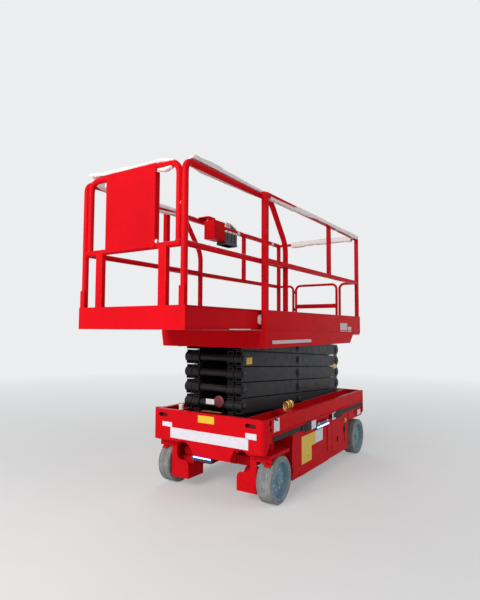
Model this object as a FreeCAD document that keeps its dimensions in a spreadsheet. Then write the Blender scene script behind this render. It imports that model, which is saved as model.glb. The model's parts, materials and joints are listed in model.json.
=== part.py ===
"""Self-propelled scissor lift with a roll-out deck, stowed, in millimetres.

+X points to the steered end, +Y to the machine's left, +Z up, and the floor is z = 0.
The origin lies on the floor under the middle of the machine's whole length.
"""
import FreeCAD
import Part
import math
import os
import Sketcher
from FreeCAD import Placement, Rotation, Vector

# Driving sizes: alias, value in millimetres (angles in degrees), what it is.
SIZES = (
    ("wheel_base", 1880, "front axle to rear axle"),
    ("machine_width", 1165, "over the tyres"),
    ("tyre_radius", 190, "outside of the solid tyre"),
    ("tyre_width", 127, "tread width"),
    ("tyre_shoulder", 9, "chamfer at each edge of the tread"),
    ("tread_groove", 3, "depth and half width of the grooves round the tread"),
    ("rim_radius", 147, "seat of the tyre on the rim"),
    ("rim_wall", 8, "thickness of the rim's barrel"),
    ("rim_recess", 24, "depth of the disc behind the outer rim edge"),
    ("rim_slope", 16, "dish of the wheel disc between hub and barrel"),
    ("disc_thick", 12, "wheel disc"),
    ("hub_radius", 46, "wheel hub"),
    ("hub_proud", 8, "hub standing out of the disc"),
    ("axle_radius", 26, "stub axle"),
    ("running_gap", 0.4, "radial clearance of a turning pin in its bore"),
    ("kingpin_inset", 118, "steering axis inside the tyre's outer face"),
    ("kingpin_radius", 24, "steering pin"),
    ("yoke_gap", 8, "yoke over the tyre"),
    ("yoke_thick", 26, "yoke's top plate"),
    ("yoke_reach", 156, "yoke's front face ahead of the axle"),
    ("yoke_lip", 34, "drop of the yoke's front lip"),
    ("fender_thick", 6, "arched sheet over the tyre"),
    ("motor_radius", 72, "drive motor housings in the front wheels' yokes"),
    ("motor_length", 164, "drive motor housings"),
    ("motor_guard_width", 188, "guard plate in front of the motor"),
    ("motor_guard_stem", 58, "stem of the guard plate"),
    ("motor_guard_foot", 94, "lower edge of the guard plate above the floor"),
    ("motor_guard_top", 250, "shoulder of the guard plate above the floor"),
    ("motor_guard_bend", 48, "bends in the guard plate's outline"),
    ("steer_arm", 130, "track rod's eyes behind the axle"),
    ("track_drop", 16, "track rod under the steering arms"),
    ("track_rod_radius", 12, "track rod"),
    ("steer_barrel_radius", 27, "steering cylinder"),
    ("steer_barrel_half", 150, "half length of the steering cylinder"),
    ("chassis_front", 1206, "front panel's face ahead of the wheelbase middle"),
    ("chassis_rear", 1140, "rear panel's face behind the wheelbase middle"),
    ("chassis_top", 692, "top of the side rails"),
    ("chassis_half", 575, "side rail's outer face from the centre plane"),
    ("ledge_height", 572, "ledge at the foot of the side rails"),
    ("ledge_proud", 7, "ledge standing out of the side rail"),
    ("rail_flange", 46, "top flange of the side rails"),
    ("sheet", 6, "thickness of bent sheet"),
    ("shelf_drop", 16, "shelf over trays and wheels, under the ledge"),
    ("floor_drop", 126, "chassis floor under the ledge"),
    ("beam_plane", 352, "inner face of the longitudinal beams from the centre plane"),
    ("beam_thick", 10, "web of the longitudinal beams"),
    ("spine_half", 235, "half width of the lower spine"),
    ("spine_drop", 146, "depth of the lower spine"),
    ("spine_front", 760, "front of the lower spine"),
    ("panel_drop", 138, "lower edge of the front panel under the ledge"),
    ("panel_hang", 92, "drop of the front panel's middle below its edge"),
    ("panel_rise", 10, "front panel over the side rails"),
    ("panel_bend", 44, "bends at the front panel's corners"),
    ("panel_return", 136, "side returns of the front panel"),
    ("panel_taper", 80, "rise of the returns' lower edge"),
    ("slot_half", 35, "half length of the lashing slots"),
    ("slot_radius", 16, "ends of the lashing slots"),
    ("slot_inset", 120, "lashing slots from the side"),
    ("skirt_drop", 167, "rear skirts under the ledge"),
    ("strip_high", 38, "black strip under the ledge"),
    ("strip_proud", 5, "black strip standing out of the side rail"),
    ("axle_beam_half", 350, "half length of the front axle's lower beam"),
    ("axle_beam_low", 272, "underside of the front axle beam"),
    ("axle_beam_high", 74, "depth of the front axle's lower beam"),
    ("pin_front", 1060, "fixed scissor pins ahead of the wheelbase middle"),
    ("pin_height", 640, "lowest scissor pins above the floor"),
    ("arm_length", 2090, "scissor arm, pin to pin"),
    ("stage_pitch", 131, "rise of one stowed stage"),
    ("arm_height", 122, "depth of an arm's tube"),
    ("arm_width", 62, "width of an arm's tube"),
    ("arm_wall", 6, "wall of an arm's tube"),
    ("arm_over", 24, "tube end past its pin"),
    ("inner_plane", 182, "inner arm tubes from the centre plane"),
    ("outer_plane", 262, "outer arm tubes from the centre plane"),
    ("pin_radius", 21, "scissor pins"),
    ("boss_radius", 44, "pin bosses"),
    ("boss_proud", 6, "pin bosses standing out of the tubes"),
    ("cross_radius", 30, "cross tubes between arm pairs"),
    ("roller_radius", 38, "slide rollers"),
    ("roller_width", 36, "slide rollers"),
    ("channel_wall", 8, "slide channel's wall"),
    ("channel_flange", 46, "slide channel's flanges"),
    ("slide_gap", 1.5, "roller's clearance in its channel"),
    ("ram_offset", 860, "lift cylinder's foot pin behind the arm's middle"),
    ("eye_offset", 740, "lift cylinder's rod pin ahead of the arm's middle"),
    ("ram_drop", 30, "rod pin under the arm's line"),
    ("barrel_radius", 55, "lift cylinder barrel"),
    ("bore_radius", 36.5, "bore of the barrel"),
    ("rod_radius", 35.5, "lift cylinder rod"),
    ("ram_stroke", 740, "length of rod kept inside the barrel"),
    ("eye_radius", 34, "eyes of the lift cylinder"),
    ("eye_half", 40, "half width of the cylinder's eyes"),
    ("lug_thick", 12, "lug plates of the lift cylinder"),
    ("lug_tube_radius", 20, "cross tubes that carry the lugs"),
    ("lug_tube_inset", 4, "lug tubes inside the arms' edge"),
    ("platform_front", 1135, "main platform's front ahead of the wheelbase middle"),
    ("platform_rear", 1135, "main platform's rear behind the wheelbase middle"),
    ("platform_half", 552, "platform's side face from the centre plane"),
    ("platform_bottom", 1256, "underside of the platform frame"),
    ("skirt_slope", 20, "lean of the platform's skirts"),
    ("skirt_sheet", 8, "platform's skirts"),
    ("step_height", 1374, "foot of the toe boards"),
    ("deck_top", 1404.7, "main deck's tread surface"),
    ("deck_thick", 5, "deck plate"),
    ("toe_top", 1565, "top of the toe boards"),
    ("toe_thick", 4, "toe board sheet"),
    ("mid_rail", 1966, "centre of the mid rails"),
    ("top_rail", 2508, "centre of the top rails"),
    ("corner_post", 44, "front corner posts along the machine"),
    ("post", 38, "square tube of the main guard rails"),
    ("gate_tube", 30, "tube of the rear rails and gate"),
    ("rear_post", 1092, "rear posts' centre behind the wheelbase middle"),
    ("half_post", 228, "short upper post's centre behind the wheelbase middle"),
    ("gate_half", 300, "half width of the entry gate's opening"),
    ("gate_gap", 10, "gap round the entry gate"),
    ("gate_hinge_low", 200, "lower gate hinge over the deck"),
    ("gate_hinge_high", 140, "upper gate hinge under the mid rail"),
    ("gate_bend", 60, "rounded corners of the entry gate and the rails beside it"),
    ("gate_bar", 1700, "centre of the entry gate's middle bar"),
    ("ext_front", 2090, "roll-out deck's face ahead of the wheelbase middle"),
    ("ext_length", 1452, "length of the roll-out deck"),
    ("ext_half", 502, "roll-out toe boards from the centre plane"),
    ("ext_flange", 22, "flanges of the roll-out toe boards"),
    ("ext_lift", 0.3, "roll-out deck's gap over the main deck"),
    ("ext_deck", 12, "floor of the roll-out deck"),
    ("ext_rail_plane", 478.5, "roll-out side rails from the centre plane"),
    ("ext_rail_inset", 25, "roll-out side rails behind the deck's face"),
    ("ext_tube_radius", 19, "tubes of the roll-out guard rails"),
    ("ext_top_rail", 2510, "centre of the roll-out top rails"),
    ("ext_face_over", 10, "roll-out deck's front plate past its toe boards"),
    ("hoop_inset", 22, "rear uprights of the roll-out side rails ahead of the deck's rear edge"),
    ("hoop_run", 279, "slanted end of the roll-out side rails, along the machine"),
    ("hoop_rise", 348, "slanted end of the roll-out side rails, upright"),
    ("front_hoop_half", 438, "uprights of the front rail's hoop from the centre plane"),
    ("front_foot_inner", 272, "feet of the front rail, inner edge from the centre plane"),
    ("front_foot_width", 70, "feet of the front rail"),
    ("corner_bend", 70, "bends at the front of the roll-out rails"),
    ("tab_rise", 125, "sockets of the front rail over the toe board"),
    ("board_width", 482, "blank board on the front rail"),
    ("board_over", 18, "board over the middle of its top rail"),
    ("board_under", 11, "board under the middle of the mid rail"),
    ("board_thick", 7, "blank board on the front rail"),
    ("board_return", 38, "folded sides of the blank board"),
    ("foam", 6, "wall of the protective foam"),
    ("foam_gap", 0.3, "foam's clearance on its rail"),
    ("console_front", 680, "front of the control console's holder ahead of the wheelbase middle"),
    ("console_length", 390, "holder and console together"),
    ("console_width", 130, "control console"),
    ("console_high", 225, "control console"),
    ("console_drop", 55, "top of the console under its bracket"),
    ("holder_high", 185, "holder of the control console"),
    ("console_plane", 340, "middle of the control console from the centre plane"),
    ("ladder_half", 200, "ladder's half width"),
    ("ladder_reach", 130, "ladder standing out of the rear panel"),
    ("ladder_foot", 280, "ladder's lower end"),
    ("ladder_pitch", 290, "rise between the rungs"),
    ("tray_front", 698, "front edge of the side trays ahead of the wheelbase middle"),
    ("tray_rear", 662, "rear edge of the side trays behind the wheelbase middle"),
    ("tray_bottom", 116, "underside of the side trays"),
    ("tray_depth", 248, "side trays, door to inner edge"),
    ("door_inset", 15, "tray doors inside the side rail's face"),
    ("door_drop", 64, "top edge of the tray doors under the ledge"),
    ("door_thick", 4, "side tray doors"),
    ("door_step", 8, "door's middle panel behind its ends"),
    ("door_band", 142, "flush band at the door's front end"),
    ("door_fold", 206, "front of the door's rear band behind the wheelbase middle"),
    ("door_kick", 14, "outward lean of the door's foot"),
    ("door_kick_top", 89, "top of the leaning foot over the tray's underside"),
    ("door_tab", 40, "raised middle of the door's top edge"),
    ("tray_swing", 30, "room behind the tray for its swing"),
    ("bulkhead_foot", 76, "lower ends of the bulkheads"),
    ("hinge_radius", 8, "hinge barrels of trays and gate"),
    ("guard_reach", 72, "depth of a pothole guard"),
    ("guard_inset", 55, "pothole guards' pivots inside the doors"),
    ("guard_pivot", 96, "pothole guards' pivots above the floor"),
    ("lamp_high", 52, "line lamps on the sides"),
    ("lamp_long", 317, "line lamps on the sides"),
    ("lamp_proud", 26, "line lamps"),
)

doc = FreeCAD.newDocument("ScissorLift")
sheet = doc.addObject("Spreadsheet::Sheet", "Sizes")
for row, (alias, value, meaning) in enumerate(SIZES, start=1):
    sheet.set("A%d" % row, alias)
    sheet.set("B%d" % row, str(value))
    sheet.set("C%d" % row, meaning)
    sheet.setAlias("B%d" % row, alias)
doc.recompute()


class Bound:
    """A size that keeps its value and the expression that binds it to the sheet."""

    def __init__(self, value, text):
        self.value = value
        self.text = text

    def __add__(self, other):
        other = bound(other)
        return Bound(self.value + other.value, "(%s + %s)" % (self.text, other.text))

    def __sub__(self, other):
        other = bound(other)
        return Bound(self.value - other.value, "(%s - %s)" % (self.text, other.text))

    def __mul__(self, other):
        other = bound(other)
        return Bound(self.value * other.value, "(%s * %s)" % (self.text, other.text))

    def __truediv__(self, other):
        other = bound(other)
        return Bound(self.value / other.value, "(%s / %s)" % (self.text, other.text))

    def __radd__(self, other):
        return bound(other) + self

    def __rsub__(self, other):
        return bound(other) - self

    def __rmul__(self, other):
        return bound(other) * self

    def __neg__(self):
        return bound(0) - self


def bound(number):
    """A plain number as a Bound."""
    if isinstance(number, Bound):
        return number
    return Bound(float(number), repr(float(number)))


def root(size):
    """Square root of a Bound."""
    return Bound(math.sqrt(size.value), "sqrt(%s)" % size.text)


def slope(rise, run):
    """Angle in degrees of a rise over a run."""
    angle = math.degrees(math.atan2(rise.value, run.value))
    return Bound(angle, "atan2(%s; %s)" % (rise.text, run.text))


class Sizes:
    """The sheet's cells as Bounds, by alias."""


S = Sizes()
for alias, value, meaning in SIZES:
    setattr(S, alias, Bound(float(value), "Sizes." + alias))

NODES = []
made = [0]


def fresh(kind, hint):
    """A new object whose name is the hint and a running number."""
    made[0] += 1
    return doc.addObject(kind, "%s_%d" % (hint, made[0]))


def bind(obj, prop, size):
    """Bind one property of an object to a size."""
    obj.setExpression(prop, bound(size).text)


def put(obj, x, y, z):
    """Bind an object's place."""
    bind(obj, "Placement.Base.x", x)
    bind(obj, "Placement.Base.y", y)
    bind(obj, "Placement.Base.z", z)
    return obj


def box(x, y, z):
    """A block between two planes on each axis."""
    obj = fresh("Part::Box", "Block")
    bind(obj, "Length", bound(x[1]) - x[0])
    bind(obj, "Width", bound(y[1]) - y[0])
    bind(obj, "Height", bound(z[1]) - z[0])
    return put(obj, x[0], y[0], z[0])


AXIS_TURN = {
    "x": Rotation(Vector(0, 1, 0), 90),
    "y": Rotation(Vector(1, 0, 0), -90),
    "z": Rotation(),
}


def rod(axis, start, end, across, radius):
    """A round bar along an axis from start to end; across holds its two other places in X, Y, Z order."""
    obj = fresh("Part::Cylinder", "Rod")
    bind(obj, "Radius", radius)
    bind(obj, "Height", bound(end) - start)
    obj.Placement = Placement(Vector(), AXIS_TURN[axis])
    place = list(across)
    place.insert("xyz".index(axis), start)
    return put(obj, *place)


def elbow(centre, turn, bend, radius):
    """A quarter bend of round tube about a centre; turn sets where it starts and its plane."""
    obj = fresh("Part::Torus", "Elbow")
    bind(obj, "Radius1", bend)
    bind(obj, "Radius2", radius)
    obj.Angle3 = 90
    obj.Placement = Placement(Vector(), turn)
    return put(obj, *centre)


def ball(centre, radius):
    """A round joint between two bars."""
    obj = fresh("Part::Sphere", "Joint")
    bind(obj, "Radius", radius)
    obj.Placement = Placement(Vector(), Rotation(Vector(0, 1, 0), 30))
    return put(obj, *centre)


def slanted(foot, run, rise, radius):
    """A round bar that leans forward from its foot."""
    obj = fresh("Part::Cylinder", "Rod")
    bind(obj, "Radius", radius)
    bind(obj, "Height", root(run * run + rise * rise))
    obj.Placement = Placement(Vector(), Rotation(Vector(0, 1, 0), 1))
    obj.setExpression("Placement.Rotation.Angle", slope(run, rise).text)
    return put(obj, *foot)


def bend(side, centre, across, radius, thick, z):
    """A quarter turn of upright sheet about a centre, at the front corner on one side."""
    outer = rod("z", z[0], z[1], (centre, across), radius)
    outer.Angle = 90
    outer.Placement = Placement(Vector(), Rotation(Vector(0, 0, 1), 0 if side > 0 else -90))
    put(outer, centre, across, z[0])
    return cut(outer, [rod("z", bound(z[0]) - 1, bound(z[1]) + 1, (centre, across), radius - thick)])


def oval(axis, low, high, across, half, radius):
    """A tool for a rounded slot through a sheet; across holds the slot's middle in X, Y, Z order.

    The slot is long in Y where it runs along X, and upright where it runs along Y.
    """
    first, second = bound(across[0]), bound(across[1])
    if axis == "x":
        middle = box((low, high), (first - half, first + half), (second - radius, second + radius))
        ends = [rod("x", low, high, (first + half * turn, second), radius) for turn in (-1.0, 1.0)]
    else:
        middle = box((first - radius, first + radius), (low, high), (second - half, second + half))
        ends = [rod("y", low, high, (first, second + half * turn), radius) for turn in (-1.0, 1.0)]
    return [middle] + ends


def fuse(parts):
    """One object from several that touch."""
    obj = fresh("Part::MultiFuse", "Joined")
    obj.Shapes = list(parts)
    obj.Refine = True
    return obj


def group(parts):
    """One node from several solids that don't touch."""
    obj = fresh("Part::Compound", "Set")
    obj.Links = list(parts)
    return obj


def cut(base, tools):
    """The base less its tools."""
    tools = list(tools)
    obj = fresh("Part::Cut", "Cut")
    obj.Base = base
    obj.Tool = tools[0] if len(tools) == 1 else fuse(tools)
    obj.Refine = True
    return obj


def origin_plane(body, role):
    """One of a body's own origin planes."""
    return [feature for feature in body.Origin.OriginFeatures if feature.Role == role][0]


def sign(number):
    """-1, 0 or 1."""
    return float((number > 1e-6) - (number < -1e-6))


def outline(body, role, points):
    """A closed sketch through bound points on one of the body's planes.

    A point may have a third value, the radius of an arc that rounds a square corner.
    """
    sketch = body.newObject("Sketcher::SketchObject", "Outline_%d" % made[0])
    sketch.AttachmentSupport = [(origin_plane(body, role), "")]
    sketch.MapMode = "FlatFace"
    corners = [tuple(bound(value) for value in point) for point in points]
    count = len(corners)

    def fix(index, vertex, place):
        for kind, size in (("DistanceX", place[0]), ("DistanceY", place[1])):
            number = sketch.addConstraint(Sketcher.Constraint(kind, -1, 1, index, vertex, size.value))
            bind(sketch, "Constraints[%d]" % number, size)

    def way(start, end):
        """Direction of the edge between two corners, along an axis."""
        return sign(end[0].value - start[0].value), sign(end[1].value - start[1].value)

    entries, exits, hubs = [], [], []
    for index, corner in enumerate(corners):
        if len(corner) == 2:
            entries.append(corner)
            exits.append(corner)
            hubs.append(None)
            continue
        a, b, radius = corner
        came = way(corners[index - 1], corner)
        goes = way(corner, corners[(index + 1) % count])
        entries.append((a - radius * came[0], b - radius * came[1]))
        exits.append((a + radius * goes[0], b + radius * goes[1]))
        hub = (a - radius * came[0] + radius * goes[0], b - radius * came[1] + radius * goes[1])
        hubs.append((hub, radius, came[0] * goes[1] - came[1] * goes[0]))
    for index in range(count):
        start, end = exits[index], entries[(index + 1) % count]
        line = Part.LineSegment(Vector(start[0].value, start[1].value, 0), Vector(end[0].value, end[1].value, 0))
        sketch.addGeometry(line, False)
    for index in range(count):
        before = (index - 1) % count
        fix(index, 1, exits[index])
        if hubs[index] is None:
            sketch.addConstraint(Sketcher.Constraint("Coincident", before, 2, index, 1))
            continue
        fix(before, 2, entries[index])
        hub, radius, turn = hubs[index]
        centre = Vector(hub[0].value, hub[1].value, 0)
        ends = []
        for place in (entries[index], exits[index]):
            ends.append(math.atan2(place[1].value - centre.y, place[0].value - centre.x))
        if turn < 0:
            ends.reverse()
        circle = Part.Circle(centre, Vector(0, 0, 1), radius.value)
        arc = sketch.addGeometry(Part.ArcOfCircle(circle, ends[0], ends[1]), False)
        first, last = (1, 2) if turn > 0 else (2, 1)
        sketch.addConstraint(Sketcher.Constraint("Coincident", before, 2, arc, first))
        sketch.addConstraint(Sketcher.Constraint("Coincident", arc, last, index, 1))
        number = sketch.addConstraint(Sketcher.Constraint("DistanceX", -1, 1, arc, 3, hub[0].value))
        bind(sketch, "Constraints[%d]" % number, hub[0])
    return sketch


def plate(role, points, thick, middle):
    """A padded outline; middle is the place of its mid plane along the plane's normal."""
    body = fresh("PartDesign::Body", "Plate")
    sketch = outline(body, role, points)
    pad = body.newObject("PartDesign::Pad", "Pad_%d" % made[0])
    pad.Profile = sketch
    pad.Midplane = True
    bind(pad, "Length", thick)
    sketch.Visibility = False
    normal = {"YZ_Plane": "x", "XZ_Plane": "y", "XY_Plane": "z"}[role]
    bind(body, "Placement.Base." + normal, middle)
    return body


def turned(points):
    """A body turned about the Y axis from an outline of (y, radius) points."""
    body = fresh("PartDesign::Body", "Turned")
    sketch = outline(body, "YZ_Plane", points)
    turn = body.newObject("PartDesign::Revolution", "Turn_%d" % made[0])
    turn.Profile = sketch
    turn.ReferenceAxis = (sketch, ["H_Axis"])
    turn.Angle = 360
    sketch.Visibility = False
    return body


def node(name, obj):
    """Name a finished sub-part, whose label is its file's name."""
    obj.Label = name
    NODES.append(obj)
    return obj


def pair(low, high, side):
    """A range of y on one side of the centre plane."""
    if side > 0:
        return (bound(low), bound(high))
    return (-bound(high), -bound(low))


SIDES = ((1, "left"), (-1, "right"))

# Places worked out from the sizes.
mid_x = -(S.ext_front - S.chassis_rear - S.ladder_reach) / 2
front_axle = mid_x + S.wheel_base / 2
rear_axle = mid_x - S.wheel_base / 2
half_width = S.machine_width / 2
tyre_in = half_width - S.tyre_width
kingpin = half_width - S.kingpin_inset
yoke_under = 2 * S.tyre_radius + S.yoke_gap
yoke_over = yoke_under + S.yoke_thick
chassis_nose = mid_x + S.chassis_front
chassis_tail = mid_x - S.chassis_rear
shelf_under = S.ledge_height - S.shelf_drop
floor_under = S.ledge_height - S.floor_drop
spine_under = floor_under - S.spine_drop
panel_low = S.ledge_height - S.panel_drop
door_plane = S.chassis_half - S.door_inset
door_top = S.ledge_height - S.door_drop
guard_plane = door_plane - S.guard_inset
tray_nose = mid_x + S.tray_front
tray_tail = mid_x - S.tray_rear
tray_wall = tray_tail - S.tray_swing
pin_x = mid_x + S.pin_front
arm_run = root(S.arm_length * S.arm_length - S.stage_pitch * S.stage_pitch)
arm_mid = pin_x - arm_run / 2
rear_pin = pin_x - arm_run
stages = 5
top_pin = S.pin_height + stages * S.stage_pitch
platform_nose = mid_x + S.platform_front
platform_tail = mid_x - S.platform_rear
deck_under = S.deck_top - S.deck_thick
rail_line = S.platform_half - S.toe_thick - S.post / 2
post_inner = S.platform_half - 44
gate_hinge_x = mid_x - S.rear_post + S.gate_tube / 2 + S.hinge_radius
gate_hinge_y = -(S.gate_half - S.gate_gap / 2)


def wheels():
    """Solid tyres with two grooves on dished steel wheels."""
    wide = S.tyre_width
    tread = S.tyre_radius
    edge = S.tyre_shoulder
    seat = S.rim_radius
    groove = S.tread_groove
    inside = seat - S.rim_wall
    face = wide - S.rim_recess
    back = face - S.disc_thick
    bore = S.axle_radius + S.running_gap
    proud = face + S.hub_proud
    dish = inside - S.rim_slope
    for corner, x in (("front", front_axle), ("rear", rear_axle)):
        for side, hand in SIDES:
            profile = [(0, seat), (wide, seat), (wide, tread - edge), (wide - edge, tread)]
            for share in (0.72, 0.28):
                middle = wide * share
                profile += [
                    (middle + groove, tread), (middle + groove / 2, tread - groove),
                    (middle - groove / 2, tread - groove), (middle - groove, tread),
                ]
            profile += [(edge, tread), (0, tread - edge)]
            band = turned(profile)
            disc = turned((
                (2, seat), (wide - 2, seat), (wide - 2, inside + 2), (wide - 8, inside),
                (face - S.rim_slope, dish), (face, S.hub_radius),
                (proud, S.hub_radius - 4), (proud, bore), (0, bore), (0, S.hub_radius),
                (back, S.hub_radius), (back - S.rim_slope, dish), (back - S.rim_slope, inside), (2, inside),
            ))
            for body in (band, disc):
                start = tyre_in if side > 0 else -tyre_in
                body.Placement = Placement(Vector(), Rotation(Vector(0, 0, 1), 0 if side > 0 else 180))
                put(body, x, start, S.tyre_radius)
            node("tyre_%s_%s" % (corner, hand), band)
            node("rim_%s_%s" % (corner, hand), disc)


def fender(side):
    """Arched sheet over a front tyre, carried by the yoke."""
    y = pair(tyre_in + 51, half_width - 18, side)
    radius = S.tyre_radius + S.yoke_gap
    band = rod("y", *y, (front_axle, S.tyre_radius), radius + S.fender_thick)
    wide = radius + S.fender_thick + 1
    inside = rod("y", y[0] - 1, y[1] + 1, (front_axle, S.tyre_radius), radius)
    below = box((front_axle - wide, front_axle + wide), (y[0] - 1, y[1] + 1),
                (S.tyre_radius - wide, S.tyre_radius + S.tyre_radius * 0.70))
    return cut(band, [inside, below])


def knuckle(side):
    """Yoke over a front wheel with its motor, guard plate, steering pin and arm."""
    facing = 1.0 if side > 0 else -1.0
    nose = front_axle + S.yoke_reach
    guard_out = tyre_in - 14
    guard_in = guard_out - S.motor_guard_width
    stem_in = guard_out - S.motor_guard_stem
    foot = S.motor_guard_foot
    shoulder = S.motor_guard_top
    curve = S.motor_guard_bend
    web = (tyre_in - 26, tyre_in - 8)
    top = box((front_axle - S.yoke_reach, nose), pair(tyre_in - 108, half_width - 4, side), (yoke_under, yoke_over))
    lip = box((nose - 10, nose), pair(tyre_in - 46, half_width - 4, side), (yoke_under - S.yoke_lip, yoke_under))
    inner = box((front_axle - 70, front_axle + 70), pair(*web, side), (S.tyre_radius - 80, yoke_under))
    motor = rod("y", *pair(web[0] - S.motor_length, web[0], side), (front_axle, S.tyre_radius), S.motor_radius)
    axle = rod("y", *pair(web[1], half_width - S.rim_recess - 4, side), (front_axle, S.tyre_radius), S.axle_radius)
    guard = plate("YZ_Plane", (
        (guard_out * facing, foot), (guard_out * facing, yoke_over), (stem_in * facing, yoke_over),
        (stem_in * facing, shoulder, curve), (guard_in * facing, shoulder, curve), (guard_in * facing, foot),
    ), S.sheet, nose - S.sheet / 2)
    sole = box((front_axle - 60, nose), pair(guard_in, guard_out, side), (foot, foot + S.sheet))
    flank = box((front_axle - 60, nose), pair(guard_in, guard_in + S.sheet, side), (foot, shoulder - curve))
    pin = rod("z", yoke_over, shelf_under - 2, (front_axle, kingpin * facing), S.kingpin_radius)
    arm = box((front_axle - S.steer_arm - 26, front_axle - S.yoke_reach + 40), pair(kingpin - 26, kingpin + 26, side),
              (yoke_under, yoke_over - 6))
    return fuse((top, lip, inner, motor, axle, guard, sole, flank, pin, arm, fender(side)))


def steering():
    """Both knuckles, the track rod and the steering cylinder round it."""
    for side, hand in SIDES:
        node("knuckle_" + hand, knuckle(side))
    rod_z = yoke_under - S.track_drop
    rod_x = front_axle - S.steer_arm
    bar = rod("y", -kingpin + 20, kingpin - 20, (rod_x, rod_z), S.track_rod_radius)
    ends = [rod("z", rod_z - 14, yoke_under - 0.5, (rod_x, kingpin * facing), 22) for facing in (1.0, -1.0)]
    node("track_rod", fuse([bar] + ends))
    half = S.steer_barrel_half
    barrel = rod("y", -half, half, (rod_x, rod_z), S.steer_barrel_radius)
    glands = [rod("y", *pair(half - 22, half + 6, side), (rod_x, rod_z), S.steer_barrel_radius + 5)
              for side, hand in SIDES]
    hole = rod("y", -half - 10, half + 10, (rod_x, rod_z), S.track_rod_radius + S.running_gap)
    bracket = box((rod_x - 20, rod_x + 20), (-60, 60), (rod_z, floor_under))
    node("steer_cylinder", cut(fuse([barrel, bracket] + glands), [hole]))


def side_rail(side, front, rear):
    """Bent side rail with its top flange and the ledge at its foot."""
    facing = float(side)
    out = S.chassis_half
    web = out - S.sheet
    return plate("YZ_Plane", (
        (web * facing, shelf_under), (web * facing, S.chassis_top - S.sheet),
        ((out - S.rail_flange) * facing, S.chassis_top - S.sheet), ((out - S.rail_flange) * facing, S.chassis_top),
        ((out - 5) * facing, S.chassis_top), (out * facing, S.chassis_top - 5), (out * facing, S.ledge_height),
        ((out + S.ledge_proud) * facing, S.ledge_height), ((out + S.ledge_proud) * facing, S.ledge_height - S.sheet),
        (out * facing, S.ledge_height - S.sheet), (out * facing, shelf_under),
    ), front - rear, (front + rear) / 2)


def bulkheads(side):
    """Walls before and behind a tray, with the pothole guard's ears."""
    facing = float(side)
    made_walls = []
    for x in (tray_nose + 1, tray_wall):
        made_walls.append(box((x, x + S.sheet), pair(S.beam_plane + S.beam_thick, door_plane - S.door_thick - 3, side),
                              (S.tray_bottom + 30, shelf_under)))
        ear = box((x, x + S.sheet), pair(guard_plane - 24, guard_plane + 24, side), (S.bulkhead_foot, S.tray_bottom + 30))
        ear_hole = rod("x", x - 1, x + S.sheet + 1, (guard_plane * facing, S.guard_pivot), S.hinge_radius + S.running_gap)
        made_walls.append(cut(ear, [ear_hole]))
    return made_walls


HINGE_FEET = (44, 304)


def tray_hinges(side):
    """Fixed halves of a tray's hinges, with their pins."""
    hinge_x = tray_nose + 1 + S.sheet / 2
    hinge_y = (door_plane + S.hinge_radius - 2) * float(side)
    halves = []
    for foot in HINGE_FEET:
        z = S.tray_bottom + foot
        barrel = rod("z", z, z + 30, (hinge_x, hinge_y), S.hinge_radius)
        leaf = box((hinge_x - 3, hinge_x + 3), pair(door_plane - 10, door_plane + S.hinge_radius - 2, side), (z, z + 30))
        pin = rod("z", z + 30, z + 58, (hinge_x, hinge_y), S.hinge_radius / 2)
        halves.append(fuse((barrel, leaf, pin)))
    return halves


def chassis():
    """Open tub of bent sheet: side rails, shelf, longitudinal beams, floor, spine and skirts."""
    front = chassis_nose - S.sheet
    rear = chassis_tail + S.sheet
    corner = chassis_nose - S.panel_bend - 1
    parts = []
    for side, hand in SIDES:
        facing = float(side)
        web = S.chassis_half - S.sheet
        beam_out = S.beam_plane + S.beam_thick
        pin_hole = rod("z", yoke_over, shelf_under + S.sheet + 2, (front_axle, kingpin * facing),
                       S.kingpin_radius + S.running_gap)
        shelf = box((rear, corner), pair(S.beam_plane, web, side), (shelf_under, shelf_under + S.sheet))
        beam = box((rear, front), pair(S.beam_plane, beam_out, side), (floor_under, S.chassis_top - 4))
        bearing = rod("z", yoke_over + 2, shelf_under, (front_axle, kingpin * facing), S.kingpin_radius + 22)
        scissor_hole = rod("y", *pair(S.beam_plane - 2, beam_out + 2, side), (pin_x, S.pin_height),
                           S.pin_radius + S.running_gap)
        cheek = box((front_axle - 60, front_axle + 60), pair(beam_out, kingpin - 30, side), (floor_under + 20, shelf_under))
        skirt = box((rear, tray_wall), pair(door_plane - 9, door_plane - 3, side), (S.ledge_height - S.skirt_drop, shelf_under))
        parts += [side_rail(side, chassis_nose - S.panel_return, rear), cut(shelf, [pin_hole]), cut(beam, [scissor_hole]),
                  cheek, cut(bearing, [pin_hole]), skirt]
        parts += bulkheads(side) + tray_hinges(side)
    floor = box((rear, front), (-S.beam_plane, S.beam_plane), (floor_under, floor_under + S.sheet))
    spine = box((rear + 60, mid_x + S.spine_front), (-S.spine_half, S.spine_half), (spine_under, floor_under))
    hollow = box((rear + 70, mid_x + S.spine_front - 10), (-S.spine_half + 10, S.spine_half - 10),
                 (spine_under + 10, floor_under - 10))
    parts += [floor, cut(spine, [hollow])]
    node("chassis_frame", fuse(parts))


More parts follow.
